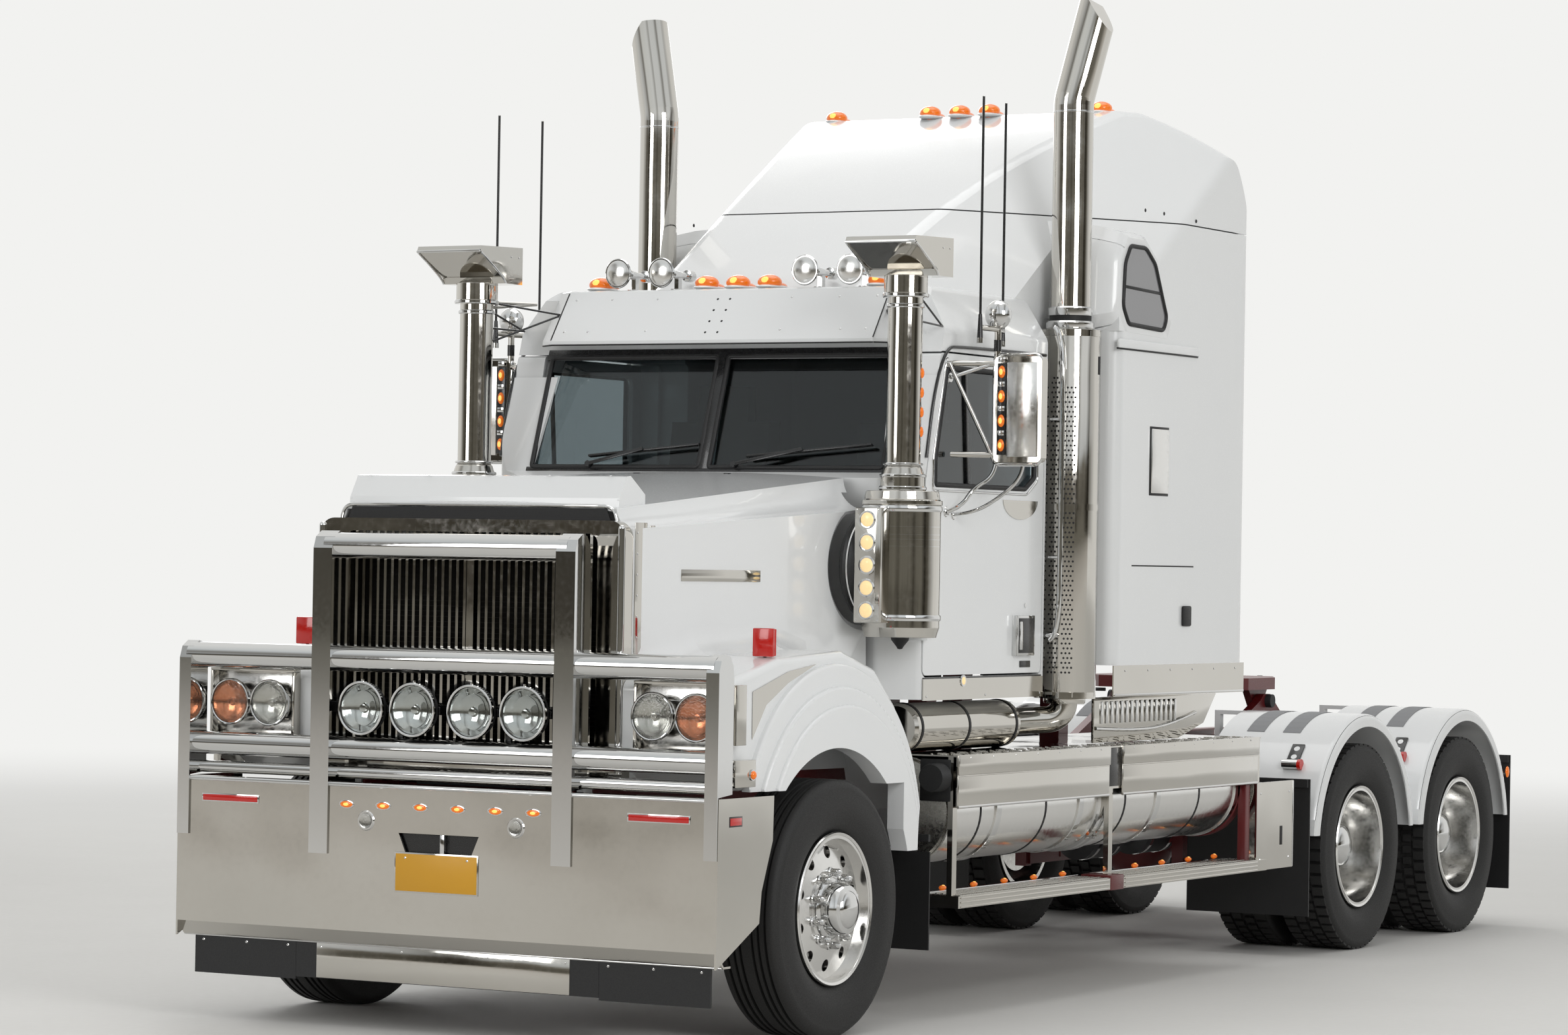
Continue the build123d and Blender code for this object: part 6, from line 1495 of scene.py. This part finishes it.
class TRUCK_OT_tail(PieceOperator, bpy.types.Operator):
    """Grip strips, brackets and lamps of the mudguards, and the fittings along the frame"""

    bl_idname = "truck.tail"
    bl_label = "Tail"

    def execute(self, context):
        tail = Group("tail_trim", "chassis")
        chrome, gloss = tail["bright_chrome"], tail["black_gloss_and_painted_shade"]
        for y in DRIVE_Y:
            # two grip strips down the front of the crown, and the hem at the guard's foot
            for x in GRIP_X:
                for k in range(GRIP_PIECES):
                    add_hoop_strip(tail["grip_tape"], y, x, 0.093, GRIP_FROM + k * GRIP_STEP, GRIP_STEP,
                                   2 * MM)
            for k in range(2):
                add_hoop_strip(tail["body_enamel"], y, 0.930, 0.622, HEM_FROM + k * HEM_STEP, HEM_STEP,
                               7 * MM)
            add_rod(chrome, (0.760, y - 0.662, 0.612), (0.860, y - 0.662, 0.612), 9 * MM)
            # rolled outer bead of the guard
            bead = GUARD - 0.052
            arc = [Vector((1.240, y + bead * math.cos(a), AXLE_Z + bead * math.sin(a)))
                   for a in [math.radians(BEAD_FROM + k * BEAD_STEP) for k in range(BEAD_POINTS)]]
            add_pipe(tail["body_enamel"], arc, 5 * MM)
            # two-hole bracket and stalk lamp on the guard's front slope
            slope, rise = GUARD_SLOPE, GUARD_RISE
            foot = Vector((1.060, y, AXLE_Z)) + slope * (GUARD + 3 * MM)
            add_beam(gloss, foot - rise * 0.060, foot + rise * 0.060, 0.066, 10 * MM, slope, 3 * MM)
            for shift in (-0.027, 0.027):
                hole = foot + rise * shift + slope * 4.5 * MM
                add_rod(tail["body_enamel"], hole, hole + slope * 1.5 * MM, 15 * MM, 20)
            stalk = Vector((1.020, y - 0.527, AXLE_Z + 0.415))
            add_rod(chrome, stalk, stalk + OUT * 0.080, 24 * MM, 24)
            add_rod(tail["red_acrylic"], stalk + OUT * 0.080, stalk + OUT * 0.098, 26 * MM, 24)
        # bolts of the middle flap, and the last flap's lower bar
        for x in (0.70, 0.92, 1.14):
            add_rivet(chrome, (x, 4.7095, 0.84), BACK, 9 * MM)
        add_slab(chrome, (0.640, 7.4405, 0.196), (1.225, 7.4495, 0.226), 2 * MM)
        # side marker at the tail of the last guard
        add_rod(gloss, (1.200, 7.370, 0.800), (1.236, 7.395, 0.800), 9 * MM)
        add_ball(tail["amber_acrylic"], (1.236, 7.398, 0.812), (0.010, 0.018, 0.030), 16, 10)
        # frame: flange bolts, air tanks under the rails and their straps
        for k in range(BOLTS):
            y = BOLT_START + k * BOLT_PITCH
            for z in (0.800, 0.930):
                add_turned(tail["painted_iron"], ((0.0, 0.0), (0.0, 0.013), (0.008, 0.013), (0.010, 0.0)),
                           (0.430, y, z), OUT, 6)
        for y in AIR_TANKS_Y:
            add_turned(tail["painted_iron"], ((-0.22, 0.0), (-0.21, 0.06), (-0.17, 0.105), (0.17, 0.105),
                                              (0.21, 0.06), (0.22, 0.0)), (0.270, y, 0.560), BACK, 28)
            for strap in (-0.11, 0.11):
                add_band(chrome, strap - 0.014, strap + 0.014, 0.1, 0.1075, (0.270, y, 0.560), BACK, 28)
        tail.mirror()
        # tread plate between the rails behind the sleeper
        add_slab(tail["brushed_aluminium"], (-0.425, 3.960, 1.001), (0.425, 4.640, 1.007), 1 * MM)
        for column in range(PLATE_COLUMNS):
            for row in range(PLATE_ROWS):
                x, y = -0.385 + column * PLATE_PITCH_X, 3.995 + row * PLATE_PITCH_Y
                lean = TREAD_LEAN if (column + row) % 2 else -TREAD_LEAN
                add_beam(tail["brushed_aluminium"], (x - lean, y - 0.015, 1.0075),
                         (x + lean, y + 0.015, 1.0075), 6 * MM, 3 * MM)
        tail.done()
        # fifth wheel: pivot caps, wear-plate screws and the release handle
        coupling = Group("fifth_wheel_trim", "fifth_wheel_plate")
        iron = coupling["painted_iron"]
        for side in (1, -1):
            add_rod(iron, (side * 0.41, 6.040, 1.190), (side * 0.462, 6.040, 1.190), 34 * MM, 24)
            for y in (5.72, 6.36):
                add_rod(iron, (side * 0.25, y, 1.309), (side * 0.25, y, 1.3115), 14 * MM, 16)
        add_rod(iron, (-0.30, 5.640, 1.235), (-0.47, 5.610, 1.235), 9 * MM)
        coupling.done()
        return {"FINISHED"}


# ---- stage, light and camera
CAMERA_SPOT = (9.759, -15.679, 1.8455)
CAMERA_YAW = math.radians(-29.32205)
CAMERA_PITCH = math.radians(0.59962)
CAMERA_ROLL = math.radians(0.96578)
CAMERA_LENS = 104.79
SENSOR_WIDTH = 36.0
FLOOR_RADIUS = 90.0
# where the floor's own tone ends and the studio's white is reached, from the truck's middle
FLOOR_NEAR, FLOOR_FAR = 5.0, 24.0
STUDIO_WHITE = linear("#F2F2F0")
# the world's strength as light on the truck
WORLD_LIGHT = 0.54
TRUCK_MIDDLE = (0.0, 2.0, 1.8)


def place(x, y, z):
    """A place measured from the front axle, in the shared frame."""
    return Vector((x, y + AXLE_Y, z))


def make_camera():
    """The camera, set by its place, yaw, pitch and roll."""
    data = bpy.data.cameras.new("camera")
    data.sensor_width = SENSOR_WIDTH
    data.lens = CAMERA_LENS
    data.clip_end = 500.0
    camera = bpy.data.objects.new("camera", data)
    bpy.context.scene.collection.objects.link(camera)
    level = math.cos(CAMERA_PITCH)
    forward = Vector((math.sin(CAMERA_YAW) * level, math.cos(CAMERA_YAW) * level, math.sin(CAMERA_PITCH)))
    right = Vector((math.cos(CAMERA_YAW), -math.sin(CAMERA_YAW), 0.0))
    up = right.cross(forward)
    rolled_right = right * math.cos(CAMERA_ROLL) + up * math.sin(CAMERA_ROLL)
    rolled_up = up * math.cos(CAMERA_ROLL) - right * math.sin(CAMERA_ROLL)
    turn = Matrix((rolled_right, rolled_up, -forward)).transposed()
    camera.matrix_world = Matrix.Translation(place(*CAMERA_SPOT)) @ turn.to_4x4()
    bpy.context.scene.camera = camera


def seen_directly(tree, kinds):
    """1 for the light paths of these kinds, else 0."""
    path = add_node(tree, "ShaderNodeLightPath")
    seen = path.outputs[kinds[0]]
    for kind in kinds[1:]:
        either = add_node(tree, "ShaderNodeMath", {0: seen, 1: path.outputs[kind]}, operation="MAXIMUM")
        seen = either.outputs[0]
    return seen


def ramp(tree, factor, stops):
    """A colour ramp with (position, colour) stops."""
    made = add_node(tree, "ShaderNodeValToRGB", {"Fac": factor})
    elements = made.color_ramp.elements
    while len(elements) < len(stops):
        elements.new(1.0)
    for element, (position, colour) in zip(elements, stops):
        element.position = position
        element.color = linear(colour)
    return made.outputs["Color"]


# What polished metal mirrors on the viewer's side of the studio; each stop is a share and a tone.
# WALL_STOPS run from straight down to straight up, FLAG_STOPS from the far right round to the far left, and
# GROUND_STOPS over the floor from the truck out to FLOOR_REACH.
WALL_STOPS = ((0.0, "#857F77"), (0.498, "#76736A"), (0.515, "#625F57"), (0.545, "#7A766D"),
              (0.565, "#D9DDE0"), (0.64, "#F4F7F9"), (0.80, "#E4E8EB"), (1.0, "#F2F2F0"))
FLAG_STOPS = ((0.0, "#FFFFFF"), (0.06, "#8C8882"), (0.11, "#F4F4F2"), (0.30, "#FFFFFF"), (0.40, "#C9C8C5"),
              (0.46, "#FFFFFF"), (0.68, "#FFFFFF"), (0.78, "#A5A29D"), (0.84, "#FFFFFF"), (0.93, "#FFFFFF"),
              (0.97, "#6E6A64"), (1.0, "#DCDBD8"))
GROUND_STOPS = ((0.0, "#C4C1BB"), (0.25, "#CFCCC6"), (0.45, "#B5B1AA"), (0.62, "#94918A"), (0.80, "#7D7A72"),
                (1.0, "#76736A"))
VIEWER_WAY = Vector((0.5, -0.85, 0.0)).normalized()
SIDE_WAY = Vector((0.85, 0.5, 0.0)).normalized()
FLOOR_REACH = 34.0


def along_way(tree, spot, way):
    """How far a place or direction lies along a way."""
    return add_node(tree, "ShaderNodeVectorMath", {0: spot, 1: way}, operation="DOT_PRODUCT").outputs["Value"]


def spread(tree, value, low, high):
    """0 at low and 1 at high."""
    made = add_node(tree, "ShaderNodeMapRange", {"Value": value, "From Min": low, "From Max": high})
    return made.outputs["Result"]


def mixed(tree, share, first, second):
    """Two shaders mixed by a share, 0 for the first and 1 for the second."""
    return add_node(tree, "ShaderNodeMixShader", {0: share, 1: first.outputs[0], 2: second.outputs[0]})


def make_world():
    """A white studio, with a room behind the viewer that only polished surfaces show."""
    world = bpy.data.worlds.new("studio")
    bpy.context.scene.world = world
    world.use_nodes = True
    tree = world.node_tree
    tree.nodes.clear()
    way = add_node(tree, "ShaderNodeTexCoord").outputs["Generated"]
    height = add_node(tree, "ShaderNodeSeparateXYZ", {"Vector": way}).outputs["Z"]
    uneven = add_node(tree, "ShaderNodeTexNoise", {"Vector": way, "Scale": 5.0, "Detail": 5.0}).outputs["Fac"]
    # the bands waver a little round their height
    uneven = spread(tree, uneven, -9.5, 10.5)
    height = spread(tree, height, -1.0, 1.0)
    height = add_node(tree, "ShaderNodeMath", {0: height, 1: uneven}, operation="ADD")
    height = add_node(tree, "ShaderNodeMath", {0: height.outputs[0], 1: 0.5}, operation="SUBTRACT")
    wall = ramp(tree, height.outputs[0], WALL_STOPS)
    flags = ramp(tree, spread(tree, along_way(tree, way, SIDE_WAY), -1.0, 1.0), FLAG_STOPS)
    tone = add_node(tree, "ShaderNodeMix", {"Factor": 1.0}, data_type="RGBA", blend_type="MULTIPLY")
    tree.links.new(wall, tone.inputs["A"])
    tree.links.new(flags, tone.inputs["B"])
    nearness = spread(tree, along_way(tree, way, VIEWER_WAY), -0.35, 0.15)
    room = add_node(tree, "ShaderNodeMix", {"Factor": nearness}, data_type="RGBA")
    room.inputs["A"].default_value = STUDIO_WHITE
    tree.links.new(tone.outputs["Result"], room.inputs["B"])
    plain = add_node(tree, "ShaderNodeBackground", {"Color": STUDIO_WHITE, "Strength": WORLD_LIGHT})
    white = add_node(tree, "ShaderNodeBackground", {"Color": STUDIO_WHITE, "Strength": 1.0})
    mirrored = add_node(tree, "ShaderNodeBackground", {"Color": room.outputs["Result"], "Strength": 1.0})
    direct = seen_directly(tree, ("Is Camera Ray", "Is Transmission Ray"))
    glossy = seen_directly(tree, ("Is Glossy Ray",))
    mix = mixed(tree, direct, plain, white)
    mix = mixed(tree, glossy, mix, mirrored)
    add_node(tree, "ShaderNodeOutputWorld", {"Surface": mix.outputs[0]})


def make_floor():
    """Pale concrete by the truck that brightens to the studio's white with distance."""
    bm = bmesh.new()
    bmesh.ops.create_circle(bm, cap_ends=True, segments=96, radius=FLOOR_RADIUS)
    mesh = bpy.data.meshes.new("studio_floor")
    bm.to_mesh(mesh)
    bm.free()
    floor = bpy.data.objects.new("studio_floor", mesh)
    bpy.context.scene.collection.objects.link(floor)
    finish = surface("pale_floor", linear("#E2E1DE"), linear("#DCDBD8"), 40.0, (0.6, 0.8))
    tree = finish.node_tree
    shader = next(item for item in tree.nodes if item.type == "BSDF_PRINCIPLED")
    output = next(item for item in tree.nodes if item.type == "OUTPUT_MATERIAL")
    spot = add_node(tree, "ShaderNodeTexCoord").outputs["Object"]
    far = add_node(tree, "ShaderNodeVectorMath", {0: spot}, operation="LENGTH")
    span = {"Value": far.outputs["Value"], "From Min": FLOOR_NEAR, "From Max": FLOOR_FAR}
    far = add_node(tree, "ShaderNodeMapRange", span, interpolation_type="SMOOTHSTEP")
    direct = seen_directly(tree, ("Is Camera Ray", "Is Glossy Ray", "Is Transmission Ray"))
    share = add_node(tree, "ShaderNodeMath", {0: far.outputs["Result"], 1: direct}, operation="MULTIPLY")
    white = add_node(tree, "ShaderNodeEmission", {"Color": STUDIO_WHITE, "Strength": 1.0})
    mix = mixed(tree, share.outputs[0], shader, white)
    # on the viewer's side, what polished metal mirrors falls off to the room's tone
    reach = along_way(tree, spot, VIEWER_WAY)
    tone = ramp(tree, spread(tree, reach, 0.0, FLOOR_REACH), GROUND_STOPS)
    ground = add_node(tree, "ShaderNodeEmission", {"Color": tone, "Strength": 1.0})
    glossy = seen_directly(tree, ("Is Glossy Ray",))
    beyond = spread(tree, reach, 3.0, 9.0)
    share = add_node(tree, "ShaderNodeMath", {0: beyond, 1: glossy}, operation="MULTIPLY")
    mix = mixed(tree, share.outputs[0], mix, ground)
    tree.links.new(mix.outputs[0], output.inputs["Surface"])
    mesh.materials.append(finish)


# soft boxes: name, place, size and power
SOFT_BOXES = (
    ("key_light", (12.0, -6.0, 6.5), 6.0, 640.0),
    ("front_light", (-5.0, -12.0, 5.0), 5.0, 300.0),
    ("top_light", (0.0, 3.0, 12.0), 8.0, 300.0),
    ("back_light", (-8.0, 12.0, 8.0), 6.0, 260.0),
)


def make_lights():
    """Square soft boxes, aimed at the truck's middle."""
    for name, spot, size, power in SOFT_BOXES:
        data = bpy.data.lights.new(name, "AREA")
        data.size = size
        data.energy = power
        light = bpy.data.objects.new(name, data)
        light.location = place(*spot)
        aim = place(*TRUCK_MIDDLE) - light.location
        light.rotation_euler = aim.to_track_quat("-Z", "Y").to_euler()
        bpy.context.scene.collection.objects.link(light)


class TRUCK_OT_stage(PieceOperator, bpy.types.Operator):
    """Makes the floor, the world, the soft boxes and the camera"""

    bl_idname = "truck.stage"
    bl_label = "Stage"

    def execute(self, context):
        context.scene.view_settings.view_transform = "Standard"
        make_camera()
        make_world()
        make_floor()
        make_lights()
        return {"FINISHED"}


# ---- the add-on's list and main
OPERATORS = (
    TRUCK_OT_finishes,
    TRUCK_OT_tyres,
    TRUCK_OT_wheel_trim,
    TRUCK_OT_driving_lamps,
    TRUCK_OT_head_lamps,
    TRUCK_OT_grille,
    TRUCK_OT_bumper,
    TRUCK_OT_windscreen,
    TRUCK_OT_visor,
    TRUCK_OT_doors,
    TRUCK_OT_cab_trim,
    TRUCK_OT_markers,
    TRUCK_OT_air_cleaners,
    TRUCK_OT_stacks,
    TRUCK_OT_mirrors,
    TRUCK_OT_sleeper,
    TRUCK_OT_sides,
    TRUCK_OT_tail,
    TRUCK_OT_stage,
)


class TRUCK_PT_pieces(bpy.types.Panel):
    """Lists the truck's settings and pieces"""

    bl_label = "Tractor unit"
    bl_idname = "TRUCK_PT_pieces"
    bl_space_type = "VIEW_3D"
    bl_region_type = "UI"
    bl_category = "Tractor unit"

    def draw(self, context):
        for group in (context.scene.truck_colours, context.scene.truck_sizes):
            for key in group.bl_rna.properties.keys():
                if key not in ("rna_type", "name"):
                    self.layout.prop(group, key)
        for operator in OPERATORS:
            self.layout.operator(operator.bl_idname)


CLASSES = (TruckColours, TruckSizes, *OPERATORS, TRUCK_PT_pieces)


def register():
    for item in CLASSES:
        bpy.utils.register_class(item)
    bpy.types.Scene.truck_colours = PointerProperty(type=TruckColours)
    bpy.types.Scene.truck_sizes = PointerProperty(type=TruckSizes)


def unregister():
    del bpy.types.Scene.truck_sizes
    del bpy.types.Scene.truck_colours
    for item in reversed(CLASSES):
        bpy.utils.unregister_class(item)


def main():
    register()
    for operator in OPERATORS:
        group, name = operator.bl_idname.split(".")
        getattr(getattr(bpy.ops, group), name)()


if __name__ == "__main__":
    main()
